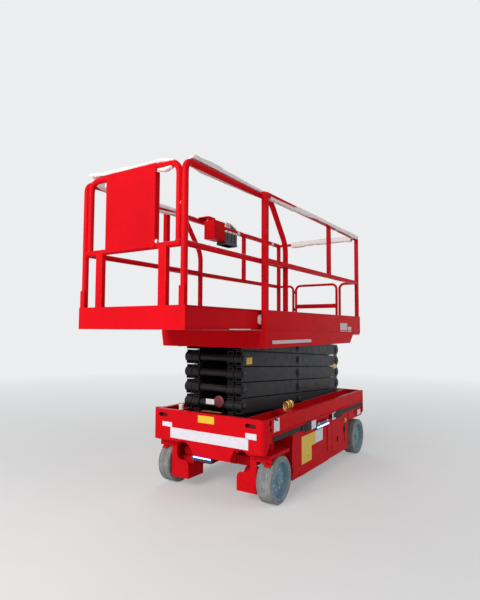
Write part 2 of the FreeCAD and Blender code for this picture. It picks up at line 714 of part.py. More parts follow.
def front_panel():
    """Front panel bent round both corners, with its hanging middle and lashing slots."""
    front = chassis_nose
    flat = S.chassis_half - S.panel_bend
    low = panel_low
    hang = low - S.panel_hang
    top = S.chassis_top + S.panel_rise
    hub = front - S.panel_bend
    tail = front - S.panel_return
    slot_z = S.chassis_top - 40
    parts = [plate("YZ_Plane", (
        (-flat, low), (-flat, top), (flat, top), (flat, low), (flat - 115, low), (flat - 155, low + 22),
        (flat - 225, low + 22), (flat - 280, hang), (-flat + 427, hang), (-flat + 375, low - 20),
        (-flat + 330, low + 10), (-flat + 265, low + 10), (-flat + 240, low),
    ), S.sheet, front - S.sheet / 2)]
    parts.append(box((front - 40, front - S.sheet), (-flat, flat), (top - 5, top)))
    tools = []
    for side, hand in SIDES:
        facing = float(side)
        parts.append(bend(side, hub, flat * facing, S.panel_bend, S.sheet, (low, top)))
        parts.append(plate("XZ_Plane", (
            (hub, low), (hub, top), (tail, S.chassis_top), (tail, low + S.panel_taper), (tail + 40, low + S.panel_taper),
        ), S.sheet, (S.chassis_half - S.sheet / 2) * facing))
        parts.append(box((tail, hub), pair(S.chassis_half - S.rail_flange, S.chassis_half - S.sheet, side),
                         (S.chassis_top - S.sheet, S.chassis_top)))
        tools += oval("x", front - 20, front + 5, ((S.chassis_half - S.slot_inset) * facing, slot_z), S.slot_half, S.slot_radius)
        tools += oval("y", *pair(S.chassis_half - 20, S.chassis_half + 5, side), (front - 105, slot_z - 9),
                      S.slot_half, S.slot_radius + 1)
    node("front_panel", cut(fuse(parts), tools))


def axles():
    """Front axle beam, rear axle with its legs and hubs."""
    low = S.axle_beam_low
    block = box((front_axle - 60, front_axle + 60), (-185, 185), (low, floor_under))
    lower = box((front_axle - 50, front_axle + 50), (-S.axle_beam_half, S.axle_beam_half), (low, low + S.axle_beam_high))
    arch = box((front_axle - 61, front_axle + 61), (-120, 120), (low - 1, low + 32))
    ends = [rod("x", front_axle - 50, front_axle + 50, (S.axle_beam_half * float(side), low + S.axle_beam_high / 2),
                S.axle_beam_high / 2) for side, hand in SIDES]
    node("front_axle_beam", cut(fuse([block, lower] + ends), [arch]))
    radius = S.tyre_radius
    rear_beam = box((rear_axle - 50, rear_axle + 50), (-tyre_in + 30, tyre_in - 30), (radius - 50, radius + 50))
    parts = [rear_beam]
    for side, hand in SIDES:
        parts.append(rod("y", *pair(tyre_in - 60, half_width - S.rim_recess - 4, side), (rear_axle, radius), S.axle_radius))
        parts.append(rod("y", *pair(tyre_in - 70, tyre_in - 12, side), (rear_axle, radius), S.motor_radius))
        parts.append(box((rear_axle - 40, rear_axle + 40), pair(S.spine_half + 2, S.spine_half + 46, side),
                         (radius + 40, floor_under)))
    node("rear_axle_beam", fuse(parts))


def chassis_ends():
    """Rear panel and entry ladder."""
    rear = chassis_tail
    out = S.chassis_half
    back = plate("YZ_Plane", (
        (-out + 30, floor_under - 40), (-out, floor_under), (-out, S.chassis_top), (out, S.chassis_top),
        (out, floor_under), (out - 30, floor_under - 40),
    ), S.sheet, rear + S.sheet / 2)
    node("rear_panel", back)
    rail_radius = 17
    rail_x = rear - S.ladder_reach + rail_radius
    line = S.ladder_half - rail_radius
    foot = S.ladder_foot
    reach = 3 * S.ladder_pitch + 30
    parts = [rod("z", foot, foot + reach, (rail_x, y), rail_radius) for y in (line, -line)]
    parts += [rod("y", -line, line, (rail_x, foot + 20 + S.ladder_pitch * step), rail_radius - 2) for step in range(4)]
    parts += [rod("x", rail_x, rear, (y, S.ledge_height + rise), 12) for y in (line, -line) for rise in (-112, 68)]
    node("entry_ladder", fuse(parts))


# Black strips under the ledge: front and rear end from the wheelbase middle, extra depth, extra reach.
STRIPS = ((1064, 560, 0, 0), (545, 405, 7, 3), (-205, -300, 7, 3), (-315, -1105, 0, 0))


def chassis_fittings():
    """Slide channels, black strips and the front line lamp."""
    reach = arm_run / 2 + 60
    high = S.roller_radius + S.slide_gap
    wall = S.channel_wall
    plane = S.beam_plane
    lip = plane - S.channel_flange
    channels = []
    for side, hand in SIDES:
        facing = float(side)
        channels.append(plate("YZ_Plane", (
            (plane * facing, S.pin_height - high - wall), (plane * facing, S.pin_height + high + wall),
            (lip * facing, S.pin_height + high + wall), (lip * facing, S.pin_height + high),
            ((plane - 3) * facing, S.pin_height + high), ((plane - 3) * facing, S.pin_height - high),
            (lip * facing, S.pin_height - high), (lip * facing, S.pin_height - high - wall),
        ), reach, rear_pin - 55 + reach / 2))
    node("slide_channels", group(channels))
    strips = []
    for side, hand in SIDES:
        for start, end, deeper, prouder in STRIPS:
            strips.append(box((mid_x + end, mid_x + start),
                              pair(S.chassis_half - 16, S.chassis_half + S.strip_proud + prouder - 1, side),
                              (shelf_under - S.strip_high - deeper, shelf_under)))
    node("side_strips", group(strips))
    hang = panel_low - S.panel_hang
    lamp = plate("XZ_Plane", (
        (chassis_nose - 62, hang - 0.3), (chassis_nose - 2, hang - 0.3), (chassis_nose - 2, hang - 16),
        (chassis_nose - 20, hang - 42), (chassis_nose - 62, hang - 42),
    ), 210, -30)
    node("line_lamp_front", lamp)


def tray_door(side):
    """Stepped door: flush bands at both ends, a sunk middle panel and a foot that leans out."""
    facing = float(side)
    out = door_plane
    thick = S.door_thick
    sunk = out - S.door_step
    low = S.tray_bottom
    kick = low + S.door_kick_top
    nose = tray_nose - 2
    step_x = nose - S.door_band
    fold_x = mid_x - S.door_fold
    seam_x = fold_x + 106
    foot_y = sunk + S.door_kick
    middle = plate("YZ_Plane", (
        (sunk * facing, door_top), (sunk * facing, kick), (foot_y * facing, low + 20), (foot_y * facing, low),
        ((foot_y - thick) * facing, low), ((foot_y - thick) * facing, low + 19), ((sunk - thick) * facing, kick - 1),
        ((sunk - thick) * facing, door_top),
    ), step_x - seam_x, (step_x + seam_x) / 2)
    parts = [middle]
    parts.append(box((step_x, nose), pair(out - thick, out, side), (low, door_top)))
    parts.append(box((step_x - thick, step_x), pair(sunk - thick, out, side), (low, door_top)))
    parts.append(box((seam_x - thick, seam_x), pair(sunk - thick, out - 2, side), (low, door_top)))
    parts.append(box((fold_x, seam_x), pair(out - 2 - thick, out - 2, side), (low, door_top)))
    parts.append(box((fold_x - thick, fold_x), pair(out - 2 - thick, out, side), (low, door_top)))
    parts.append(box((tray_tail, fold_x), pair(out - thick, out, side), (low, door_top)))
    parts.append(box((mid_x - 150, mid_x + 385), pair(sunk - thick, sunk, side), (door_top, door_top + S.door_tab)))
    through = pair(out - 12, out + 3, side)
    tools = oval("y", *through, (mid_x - 560, low + 194), 92, 8)
    tools += oval("y", *through, (mid_x - 355, low + 152), 14, 17)
    return cut(fuse(parts), tools)


def trays():
    """Swing-out side trays with their doors, what stands in them, and the pothole guards."""
    for side, hand in SIDES:
        facing = float(side)
        out = door_plane
        panel_back = out - S.door_step - S.door_thick
        inside = out - S.tray_depth
        low = S.tray_bottom
        deep_rear = tray_tail + S.tray_swing + 10
        base = box((deep_rear, tray_nose - 12), pair(inside, panel_back, side), (low, low + 6))
        ends = [box((x, x + 6), pair(inside, out - S.door_thick, side), (low, low + 244)) for x in (deep_rear, tray_nose - 18)]
        hinge_x = tray_nose + 1 + S.sheet / 2
        hinge_y = (out + S.hinge_radius - 2) * facing
        knuckles = []
        for foot in HINGE_FEET:
            z = low + foot
            barrel = rod("z", z + 30.3, z + 60, (hinge_x, hinge_y), S.hinge_radius)
            leaf = box((tray_nose - 60, hinge_x), pair(out, out + 3, side), (z + 30.3, z + 60))
            hole = rod("z", z + 29, z + 61, (hinge_x, hinge_y), S.hinge_radius / 2 + S.running_gap)
            knuckles.append(cut(fuse((barrel, leaf)), [hole]))
        node("tray_" + hand, fuse([tray_door(side), base] + ends + knuckles))
        load = box((deep_rear + 30, tray_nose - 60), pair(inside + 8, out - 30, side), (low + 6, low + 284))
        node({"left": "battery_block", "right": "hydraulic_block"}[hand], load)
        lamp_top = door_top + 12
        lamp_in = out - S.door_step
        node("line_lamp_" + hand, box((mid_x - 97, mid_x - 97 + S.lamp_long), pair(lamp_in, lamp_in + S.lamp_proud, side),
                                      (lamp_top - S.lamp_high, lamp_top)))
        far = tray_nose + 1
        pivot = S.guard_pivot
        edge = guard_plane - S.guard_reach
        flap = plate("YZ_Plane", (
            (guard_plane * facing, pivot - 4), (guard_plane * facing, pivot + 4), ((edge + 4) * facing, pivot + 4),
            ((edge + 4) * facing, pivot + 12), (edge * facing, pivot + 12), (edge * facing, pivot - 4),
        ), far - tray_wall - S.sheet - 4, (tray_wall + S.sheet + far) / 2)
        pins = rod("x", tray_wall - 4, far + S.sheet + 4, (guard_plane * facing, pivot), S.hinge_radius)
        node("pothole_guard_" + hand, fuse((flap, pins)))


def arm_tube(plane, side):
    """One hollow arm tube about its own middle, lying along X."""
    half = S.arm_length / 2 + S.arm_over
    y = pair(plane - S.arm_width / 2, plane + S.arm_width / 2, side)
    tube = box((-half, half), y, (-S.arm_height / 2, S.arm_height / 2))
    y_in = pair(plane - S.arm_width / 2 + S.arm_wall, plane + S.arm_width / 2 - S.arm_wall, side)
    hollow = box((-half - 1, half + 1), y_in, (-S.arm_height / 2 + S.arm_wall, S.arm_height / 2 - S.arm_wall))
    return cut(tube, [hollow])


def through(plane, side, x, radius, extra=0):
    """A round bar through one arm tube and a little past both its faces."""
    low = plane - S.arm_width / 2 - extra
    high = plane + S.arm_width / 2 + extra
    return rod("y", *pair(low, high, side), (x, 0), radius)


def scissor():
    """Five stages of crossed arm frames; each arm is built about its middle pivot."""
    half = S.arm_length / 2
    tilt = slope(S.stage_pitch, arm_run)
    hole = S.pin_radius + S.running_gap
    outer_face = S.outer_plane + S.arm_width / 2
    inner_face = S.inner_plane + S.arm_width / 2
    inner_back = S.inner_plane - S.arm_width / 2
    outer_back = S.outer_plane - S.arm_width / 2
    tip = outer_face + S.boss_proud + 4
    for stage in range(1, stages + 1):
        inner = []
        bores = []
        for side, hand in SIDES:
            inner.append(arm_tube(S.inner_plane, side))
            front_tip = tip if stage > 1 else S.beam_plane + S.beam_thick
            inner.append(rod("y", *pair(inner_back, front_tip, side), (half, 0), S.pin_radius))
            inner.append(rod("y", *pair(inner_back, tip, side), (0, 0), S.pin_radius))
            inner.append(through(S.inner_plane, side, half, S.boss_radius, S.boss_proud))
            inner.append(through(S.inner_plane, side, 0, S.boss_radius, S.boss_proud))
            inner.append(through(S.inner_plane, side, -half, S.boss_radius, S.boss_proud))
            if stage < stages:
                bores.append(through(S.inner_plane, side, -half, hole, S.boss_proud + 1))
            else:
                inner.append(rod("y", *pair(inner_back, S.beam_plane - 4, side), (-half, 0), S.pin_radius))
                inner.append(rod("y", *pair(S.beam_plane - 6 - S.roller_width, S.beam_plane - 6, side), (-half, 0),
                                 S.roller_radius))
        inner.append(rod("y", -inner_back, inner_back, (half, 0), S.cross_radius))
        if stage == stages:
            inner.append(rod("y", -inner_back, inner_back, (-half, 0), S.cross_radius))
        lugs_y = S.eye_half + 0.5
        lug_tube_z = S.arm_height / 2 - S.lug_tube_radius - S.lug_tube_inset
        if stage in (1, 3):
            tube_x = -S.ram_offset - 50
            inner.append(rod("y", -inner_back, inner_back, (tube_x, -lug_tube_z), S.lug_tube_radius))
            for side, hand in SIDES:
                inner.append(rod("y", *pair(lugs_y, lugs_y + S.lug_thick, side), (-S.ram_offset, 0), S.eye_radius))
                inner.append(box((tube_x - 10, -S.ram_offset), pair(lugs_y, lugs_y + S.lug_thick, side),
                                 (-lug_tube_z, 10)))
            inner.append(rod("y", -lugs_y - 4, lugs_y + 4, (-S.ram_offset, 0), S.pin_radius - 4))
        if stage in (3, 5):
            inner.append(rod("y", -inner_back, inner_back, (S.eye_offset, lug_tube_z), S.lug_tube_radius))
            for side, hand in SIDES:
                inner.append(box((S.eye_offset - 18, S.eye_offset + 18), pair(lugs_y, lugs_y + S.lug_thick, side),
                                 (-S.ram_drop, lug_tube_z)))
                inner.append(rod("y", *pair(lugs_y, lugs_y + S.lug_thick, side), (S.eye_offset, -S.ram_drop), 26))
        frame = fuse(inner)
        if bores:
            frame = cut(frame, bores)
        frame.Placement = Placement(Vector(), Rotation(Vector(0, 1, 0), 1))
        frame.setExpression("Placement.Rotation.Angle", tilt.text)
        put(frame, arm_mid, 0, S.pin_height + (stage - 0.5) * S.stage_pitch)
        node("inner_arm_%d" % stage, frame)

        outer = []
        bores = []
        for side, hand in SIDES:
            outer.append(arm_tube(S.outer_plane, side))
            for x in (half, 0, -half):
                outer.append(through(S.outer_plane, side, x, S.boss_radius, S.boss_proud))
            bores.append(through(S.outer_plane, side, 0, hole, S.boss_proud + 1))
            if stage < stages:
                bores.append(through(S.outer_plane, side, half, hole, S.boss_proud + 1))
            else:
                outer.append(rod("y", *pair(outer_back, S.beam_plane + S.beam_thick, side), (half, 0), S.pin_radius))
            if stage == 1:
                outer.append(rod("y", *pair(outer_back, S.beam_plane - 6, side), (-half, 0), S.pin_radius))
                outer.append(rod("y", *pair(S.beam_plane - 6 - S.roller_width, S.beam_plane - 6, side), (-half, 0),
                                 S.roller_radius))
        outer.append(rod("y", -outer_back, outer_back, (-half, 0), S.pin_radius))
        frame = cut(fuse(outer), bores)
        frame.Placement = Placement(Vector(), Rotation(Vector(0, -1, 0), 1))
        frame.setExpression("Placement.Rotation.Angle", tilt.text)
        put(frame, arm_mid, 0, S.pin_height + (stage - 0.5) * S.stage_pitch)
        node("outer_arm_%d" % stage, frame)


def lift_cylinders():
    """Two lift cylinders, each from one inner arm to the inner arm two stages up."""
    half = S.arm_length / 2
    tilt_run = arm_run / S.arm_length
    tilt_rise = S.stage_pitch / S.arm_length
    for name, stage in (("lower", 1), ("upper", 3)):
        foot_x = arm_mid - S.ram_offset * tilt_run
        foot_z = S.pin_height + (stage - 0.5) * S.stage_pitch + S.ram_offset * tilt_rise
        eye_x = arm_mid + S.eye_offset * tilt_run - S.ram_drop * tilt_rise
        eye_z = S.pin_height + (stage + 1.5) * S.stage_pitch - S.eye_offset * tilt_rise - S.ram_drop * tilt_run
        rise = eye_z - foot_z
        run = eye_x - foot_x
        length = root(rise * rise + run * run)
        gland = length - 90
        barrel = rod("x", 52, gland, (0, 0), S.barrel_radius)
        bore = rod("x", gland - S.ram_stroke - 110, gland + 1, (0, 0), S.bore_radius)
        foot = rod("y", -S.eye_half, S.eye_half, (0, 0), S.eye_radius)
        neck = box((0, 60), (-S.eye_half, S.eye_half), (-24, 24))
        foot_hole = rod("y", -S.eye_half - 1, S.eye_half + 1, (0, 0), S.pin_radius - 4 + S.running_gap)
        barrel_node = cut(fuse((barrel, neck, foot)), [bore, foot_hole])
        shaft = rod("x", gland - S.ram_stroke - 100, length - 20, (0, 0), S.rod_radius)
        eye = rod("y", -S.eye_half, S.eye_half, (length, 0), 30)
        rod_node = fuse((shaft, eye))
        for label, piece in (("lift_barrel_" + name, barrel_node), ("lift_rod_" + name, rod_node)):
            piece.Placement = Placement(Vector(), Rotation(Vector(0, -1, 0), 1))
            piece.setExpression("Placement.Rotation.Angle", slope(rise, run).text)
            put(piece, foot_x, 0, foot_z)
            node(label, piece)


def slide_channel(side, height):
    """Channel for the upper rollers under one side of the platform."""
    facing = float(side)
    high = S.roller_radius + S.slide_gap
    wall = S.channel_wall
    plane = S.beam_plane
    lip = plane - S.channel_flange
    reach = arm_run / 2 + 60
    return plate("YZ_Plane", (
        (plane * facing, height - high - wall), (plane * facing, height + high + wall),
        (lip * facing, height + high + wall), (lip * facing, height + high),
        ((plane - 3) * facing, height + high), ((plane - 3) * facing, height - high),
        (lip * facing, height - high), (lip * facing, height - high - wall),
    ), reach, rear_pin - 55 + reach / 2)


def platform():
    """Main platform: lower frame, deck and toe boards."""
    front = platform_nose
    rear = platform_tail
    out = S.platform_half
    low = S.platform_bottom
    post_x = front - S.corner_post
    slope = S.skirt_slope
    thick = S.skirt_sheet
    rear_in = rear + S.toe_thick
    parts = []
    cut_off = plate("XZ_Plane", (
        (rear - 20, low - 20), (mid_x - 850, low - 20), (mid_x - 850, low + 1), (mid_x - 905, low + 92), (rear - 20, low + 92),
    ), 2 * out + 20, 0)
    for side, hand in SIDES:
        facing = float(side)
        skirt = plate("YZ_Plane", (
            ((out - 3) * facing, S.step_height), ((out - 3 - slope) * facing, low),
            ((out - 3 - slope - thick) * facing, low), ((out - 3 - thick) * facing, S.step_height),
        ), post_x - rear, (post_x + rear) / 2)
        shelf = box((rear_in, post_x), pair(out - 34, out - S.toe_thick, side), (S.step_height, S.step_height + 6))
        beam = box((rear + 30, front - 8), pair(S.beam_plane, S.beam_plane + S.beam_thick, side), (low - 4, deck_under))
        pin_hole = rod("y", *pair(S.beam_plane - 2, S.beam_plane + S.beam_thick + 2, side), (pin_x, top_pin),
                       S.pin_radius + S.running_gap)
        parts += [skirt, shelf, cut(beam, [pin_hole]), slide_channel(side, top_pin)]
    cross = out - 30
    for x in (rear + 30, mid_x - 560, mid_x, mid_x + 560):
        parts.append(box((x, x + 32), (-cross, cross), (S.step_height - 2, deck_under)))
    parts.append(box((front - 40, front - 8), (-post_inner, post_inner), (S.step_height - 2, deck_under)))
    parts.append(box((front - 8, front), (-post_inner, post_inner), (low, deck_under)))
    parts.append(box((rear_in, rear_in + 8), (-cross, cross), (S.step_height - 30, deck_under)))
    node("platform_frame", cut(fuse(parts), [cut_off]))
    edge = out - S.toe_thick
    deck = box((rear_in, front - 2), (-edge, edge), (deck_under, S.deck_top))
    notches = [box((post_x, front), pair(post_inner, out, side), (deck_under - 1, S.deck_top + 1)) for side, hand in SIDES]
    node("platform_deck", cut(deck, notches))
    boards = []
    for side, hand in SIDES:
        along = box((rear, post_x), pair(edge, out, side), (S.step_height, S.toe_top))
        fill = box((rear, post_x), pair(out - 30, edge, side), (S.step_height + 6, deck_under))
        lip = box((rear, post_x), pair(out - 16, edge, side), (S.toe_top - S.toe_thick, S.toe_top))
        behind = box((rear, rear_in), pair(S.gate_half, out, side), (S.step_height, S.toe_top))
        board = fuse((along, fill, lip, behind))
        space = [box((mid_x - S.rear_post - S.post / 2 - 1, mid_x - S.rear_post + S.post / 2 + 1), pair(out - 60, edge, side),
                     (S.deck_top, S.toe_top + 1))]
        boards.append(cut(board, space))
    node("toe_boards", group(boards))


def side_rails():
    """Left and right guard rails; the front posts reach down over the skirts."""
    front = platform_nose
    out = S.platform_half
    half = S.post / 2
    top = S.top_rail + half
    for side, hand in SIDES:
        facing = float(side)
        y_rail = pair(rail_line - half, rail_line + half, side)
        foot_mid = front - S.corner_post / 2
        foot = plate("YZ_Plane", (
            (post_inner * facing, S.platform_bottom), ((out - S.skirt_slope) * facing, S.platform_bottom),
            (out * facing, S.step_height), (out * facing, top - 12), ((out - 12) * facing, top), (post_inner * facing, top),
        ), S.corner_post, foot_mid)
        rear_x = mid_x - S.rear_post
        back_post = box((rear_x - half, rear_x + half), y_rail, (S.deck_top, top))
        half_x = mid_x - S.half_post
        short_post = box((half_x - 17, half_x + 17), y_rail, (S.mid_rail, S.top_rail))
        rails = [box((rear_x, foot_mid), y_rail, (z - half, z + half)) for z in (S.mid_rail, S.top_rail)]
        node("side_rail_" + hand, fuse([foot, back_post, short_post] + rails))


def quarter(side):
    """Turn of an elbow from a bar on one side of its centre to the top."""
    upper = Rotation(Vector(0, 0, 1), 90) * Rotation(Vector(1, 0, 0), 90)
    return upper if side > 0 else upper * Rotation(Vector(0, 0, 1), 90)


def rear_rails():
    """Rear top rail, the rounded half rails beside the entry, and the swing gate under the top rail."""
    rear_x = mid_x - S.rear_post
    tube = S.gate_tube / 2
    along = (rear_x - tube, rear_x + tube)
    hinges = (S.deck_top + S.gate_hinge_low, S.mid_rail - S.gate_hinge_high)
    end = rail_line - S.post / 2
    curve = S.gate_bend
    knee = S.mid_rail - curve
    fixed = [box(along, (-end, end), (S.top_rail - tube, S.top_rail + tube))]
    for side, hand in SIDES:
        facing = float(side)
        y = S.gate_half + tube
        post = rod("z", S.deck_top, knee, (rear_x, y * facing), tube)
        corner = elbow((rear_x, (y + curve) * facing, knee), quarter(-side), curve, tube)
        bar = rod("y", *pair(y + curve, end, side), (rear_x, S.mid_rail), tube)
        fixed.append(fuse((post, corner, bar)))
    barrel_radius = S.hinge_radius - 1
    for z in hinges:
        barrel = rod("z", z, z + 40, (gate_hinge_x, gate_hinge_y), barrel_radius)
        leaf = box((rear_x + tube - 5, gate_hinge_x), (-S.gate_half - 20, gate_hinge_y), (z, z + 40))
        pin = rod("z", z + 40, z + 74, (gate_hinge_x, gate_hinge_y), barrel_radius - 3)
        fixed[2] = fuse((fixed[2], barrel, leaf, pin))
    node("rear_rails", group(fixed))
    half = S.gate_half - S.gate_gap
    y = half - tube
    foot = S.deck_top + 75
    parts = [rod("y", -y + curve, y - curve, (rear_x, S.mid_rail), tube),
             rod("y", -y, y, (rear_x, S.gate_bar), tube - 2), rod("y", -y, y, (rear_x, foot), tube - 2)]
    for side, hand in SIDES:
        facing = float(side)
        parts.append(rod("z", foot, knee, (rear_x, y * facing), tube))
        parts.append(ball((rear_x, y * facing, foot), tube + 1))
        parts.append(elbow((rear_x, (y - curve) * facing, knee), quarter(side), curve, tube))
    parts.append(box((rear_x - tube + 4, rear_x - tube + 8), (-y, y), (S.deck_top + 20, S.toe_top)))
    for z in hinges:
        barrel = rod("z", z + 40.3, z + 76, (gate_hinge_x, gate_hinge_y), barrel_radius)
        leaf = box((rear_x + tube - 5, gate_hinge_x), (gate_hinge_y, -half + 20), (z + 40.3, z + 76))
        hole = rod("z", z + 39, z + 77, (gate_hinge_x, gate_hinge_y), barrel_radius - 3 + S.running_gap)
        parts.append(cut(fuse((barrel, leaf)), [hole]))
    node("entry_gate", fuse(parts))


def rollout_deck():
    """Roll-out deck with channel-shaped toe boards and the front rail's sockets."""
    front = mid_x + S.ext_front
    rear = front - S.ext_length
    low = S.deck_top + S.ext_lift
    out = S.ext_half
    web = out - S.ext_flange
    thick = S.toe_thick
    parts = [box((rear, front - thick), (-web, web), (low, low + S.ext_deck))]
    for side, hand in SIDES:
        facing = float(side)
        parts.append(plate("YZ_Plane", (
            (out * facing, low), (out * facing, low + 4), ((web + 4) * facing, low + 4), ((web + 4) * facing, S.toe_top - 4),
            (out * facing, S.toe_top - 4), (out * facing, S.toe_top), (web * facing, S.toe_top), (web * facing, low),
        ), S.ext_length - thick, (rear + front - thick) / 2))
        parts.append(box((front - thick, front), pair(out - 46, out, side), (low, S.toe_top + S.tab_rise)))
    face = out + S.ext_face_over
    parts.append(box((front - thick, front), (-face, face), (low, S.toe_top)))
    node("rollout_deck", fuse(parts))


def rollout_rails():
    """Tube side rails and front rail of the roll-out deck, and the blank board."""
    front = mid_x + S.ext_front
    rear = front - S.ext_length
    low = S.deck_top + S.ext_lift + S.ext_deck
    radius = S.ext_tube_radius
    top = S.ext_top_rail
    nose = front - S.ext_rail_inset
    hoop = rear + S.hoop_inset
    knee = top - S.hoop_rise
    tight = S.corner_bend
    frames = []
    for side, hand in SIDES:
        y = S.ext_rail_plane * float(side)
        frames.append(fuse((
            rod("z", S.toe_top, knee, (hoop, y), radius),
            ball((hoop, y, knee), radius + 1),
            slanted((hoop, y, knee), S.hoop_run, S.hoop_rise, radius),
            ball((hoop + S.hoop_run, y, top), radius + 1),
            rod("x", hoop + S.hoop_run, nose - tight, (y, top), radius),
            elbow((nose - tight, y, top - tight), Rotation(Vector(1, 0, 0), 90), tight, radius),
            rod("z", S.toe_top, top - tight, (nose, y), radius),
            rod("x", hoop, nose, (y, S.mid_rail), radius - 2),
        )))
    node("rollout_side_rails", group(frames))
    x = front - S.board_thick - radius
    half = S.front_hoop_half
    reach = S.ext_rail_plane - radius - 0.3
    bars = [rod("y", -half + tight, half - tight, (x, top), radius), rod("y", -reach, reach, (x, S.mid_rail), radius - 2)]
    for side, hand in SIDES:
        facing = float(side)
        bars.append(rod("z", S.mid_rail, top - tight, (x, half * facing), radius))
        bars.append(elbow((x, (half - tight) * facing, top - tight), quarter(side), tight, radius))
        bars.append(box((x - 8, x + 8), pair(half, reach, side), (top - 290, top - 266)))
        foot = S.front_foot_inner
        bars.append(box((x - 12, front - S.toe_thick), pair(foot, foot + S.front_foot_width, side),
                        (S.toe_top - 60, S.mid_rail)))
    node("rollout_front_rail", fuse(bars))
    board = S.board_width / 2
    back = front - S.board_thick
    pieces = [box((back, front), (-board, board), (S.mid_rail - S.board_under, top + S.board_over))]
    for side, hand in SIDES:
        pieces.append(box((back - S.board_return, back), pair(board - 3, board, side), (S.mid_rail + 22, top - 36)))
    node("front_board", fuse(pieces))


def controls():
    """Console and its holder on a bracket that reaches over the right-hand top rail."""
    over = S.top_rail + S.post / 2 + S.foam + 12
    front = mid_x + S.console_front
    middle = front - 120
    edge = S.platform_half - S.toe_thick
    inner = S.console_plane - S.console_width / 2
    outer = S.console_plane + S.console_width / 2
    clip = box((middle - 60, middle + 60), pair(edge - 20, edge, -1), (S.top_rail + S.post / 2, over + 8))
    arm = box((middle - 60, middle + 60), pair(outer + 9, edge, -1), (over, over + 8))
    brim = over - S.console_drop
    sole = brim - S.holder_high
    hanger = box((middle - 60, middle + 60), pair(outer + 9, outer + 15, -1), (sole, over + 8))
    shell = box((middle - 60, front), pair(inner + 20, outer + 15, -1), (sole, brim))
    pocket = box((middle - 54, front - 6), pair(inner + 26, outer + 9, -1), (sole + 6, brim + 1))
    shelf = box((front - S.console_length, front - 6), pair(inner + 40, outer - 20, -1), (sole - 6, sole))
    node("control_holder", fuse((clip, arm, hanger, cut(shell, [pocket]), shelf)))
    rear = front - S.console_length
    high = brim + 4
    low = high - S.console_high
    body = plate("XZ_Plane", (
        (rear, low), (middle - 61, low), (middle - 61, high), (rear + 130, high), (rear + 20, high - 40), (rear, high - 60),
    ), S.console_width - 20, -S.console_plane)
    space = box((rear - 1, middle), pair(inner + 40, outer - 20, -1), (sole - 6, sole))
    node("control_box", cut(body, [space]))


def sleeve(x, y, z, axis="x"):
    """Foam round a square rail: a block between the planes less the rail's own space."""
    wall = S.foam
    if axis == "x":
        outer = box(x, (y[0] - wall, y[1] + wall), (z[0] - wall, z[1] + wall))
        return cut(outer, [box((x[0] - 1, x[1] + 1), y, z)])
    outer = box((x[0] - wall, x[1] + wall), y, (z[0] - wall, z[1] + wall))
    return cut(outer, [box(x, (y[0] - 1, y[1] + 1), z)])


def tube_sleeve(axis, start, end, across):
    """Foam round a round rail."""
    inside = S.ext_tube_radius + S.foam_gap
    outer = rod(axis, start, end, across, inside + S.foam)
    return cut(outer, [rod(axis, bound(start) - 1, bound(end) + 1, across, inside)])


def foam():
    """Protective foam left on the top rails."""
    gap = S.post / 2 + S.foam_gap
    pieces = []
    rear_x = mid_x - S.rear_post
    z = (S.top_rail - gap, S.top_rail + gap)
    split = mid_x + S.console_front - 120
    for side, hand in SIDES:
        y = pair(rail_line - gap, rail_line + gap, side)
        start = mid_x - S.half_post + 18
        end = platform_nose - S.corner_post - 2
        spans = [(rear_x + S.post / 2 + 2, mid_x - S.half_post - 18), (start, end)]
        if side < 0:
            spans[1:] = [(start, split - 70), (split + 70, end)]
        open_side = box((rear_x, platform_nose), pair(rail_line - gap - 2 * S.foam, rail_line - gap, side),
                        (S.top_rail - 40, S.top_rail + 40))
        for span in spans:
            pieces.append(cut(sleeve(span, y, z), [open_side]))
    node("foam_main", group(pieces))
    tube = S.gate_tube / 2 + S.foam_gap
    along = (rear_x - tube, rear_x + tube)
    node("foam_gate", sleeve(along, (-S.gate_half - 30, rail_line - S.post / 2 - 40), (S.top_rail - tube, S.top_rail + tube), "y"))
    front = mid_x + S.ext_front
    top = S.ext_top_rail
    nose = front - S.ext_rail_inset - S.corner_bend
    start = front - S.ext_length + S.hoop_inset + S.hoop_run + 20
    pieces = []
    for side, hand in SIDES:
        wrap = tube_sleeve("x", start, nose, (S.ext_rail_plane * float(side), top))
        edge = S.ext_rail_plane + S.ext_tube_radius - 1
        pieces.append(cut(wrap, [box((start - 1, nose + 1), pair(edge, edge + 20, side), (top - 40, top + 40))]))
    rail_x = front - S.board_thick - S.ext_tube_radius
    half = S.front_hoop_half - S.corner_bend
    board = S.board_width / 2 + S.foam_gap
    space = box((front - S.board_thick - S.foam_gap, front + 20), (-board, board), (top - 60, top + S.board_over + S.foam_gap))
    pieces.append(cut(tube_sleeve("y", -half, half, (rail_x, top)), [space]))
    node("foam_rollout", group(pieces))


wheels()
steering()
chassis()
front_panel()
axles()
chassis_ends()
chassis_fittings()
trays()
scissor()
lift_cylinders()
platform()
side_rails()
rear_rails()
rollout_deck()
rollout_rails()
controls()
foam()
doc.recompute()

for obj in doc.Objects:
    if "Invalid" in obj.State or "Error" in obj.State:
        raise RuntimeError("%s (%s) failed" % (obj.Label, obj.Name))
for obj in NODES:
    if obj.Shape.isNull() or not obj.Shape.isValid():
        raise RuntimeError("%s has no valid shape" % obj.Label)

os.makedirs("parts", exist_ok=True)
for obj in NODES:
    obj.Shape.exportStep("parts/%s.step" % obj.Label)
print("%d nodes" % len(NODES))
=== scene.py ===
"""Looks of the scissor lift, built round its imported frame. Metres, +X forward, +Y left, +Z up."""
import json
import math

import bmesh
import bpy
from mathutils import Matrix, Vector, noise


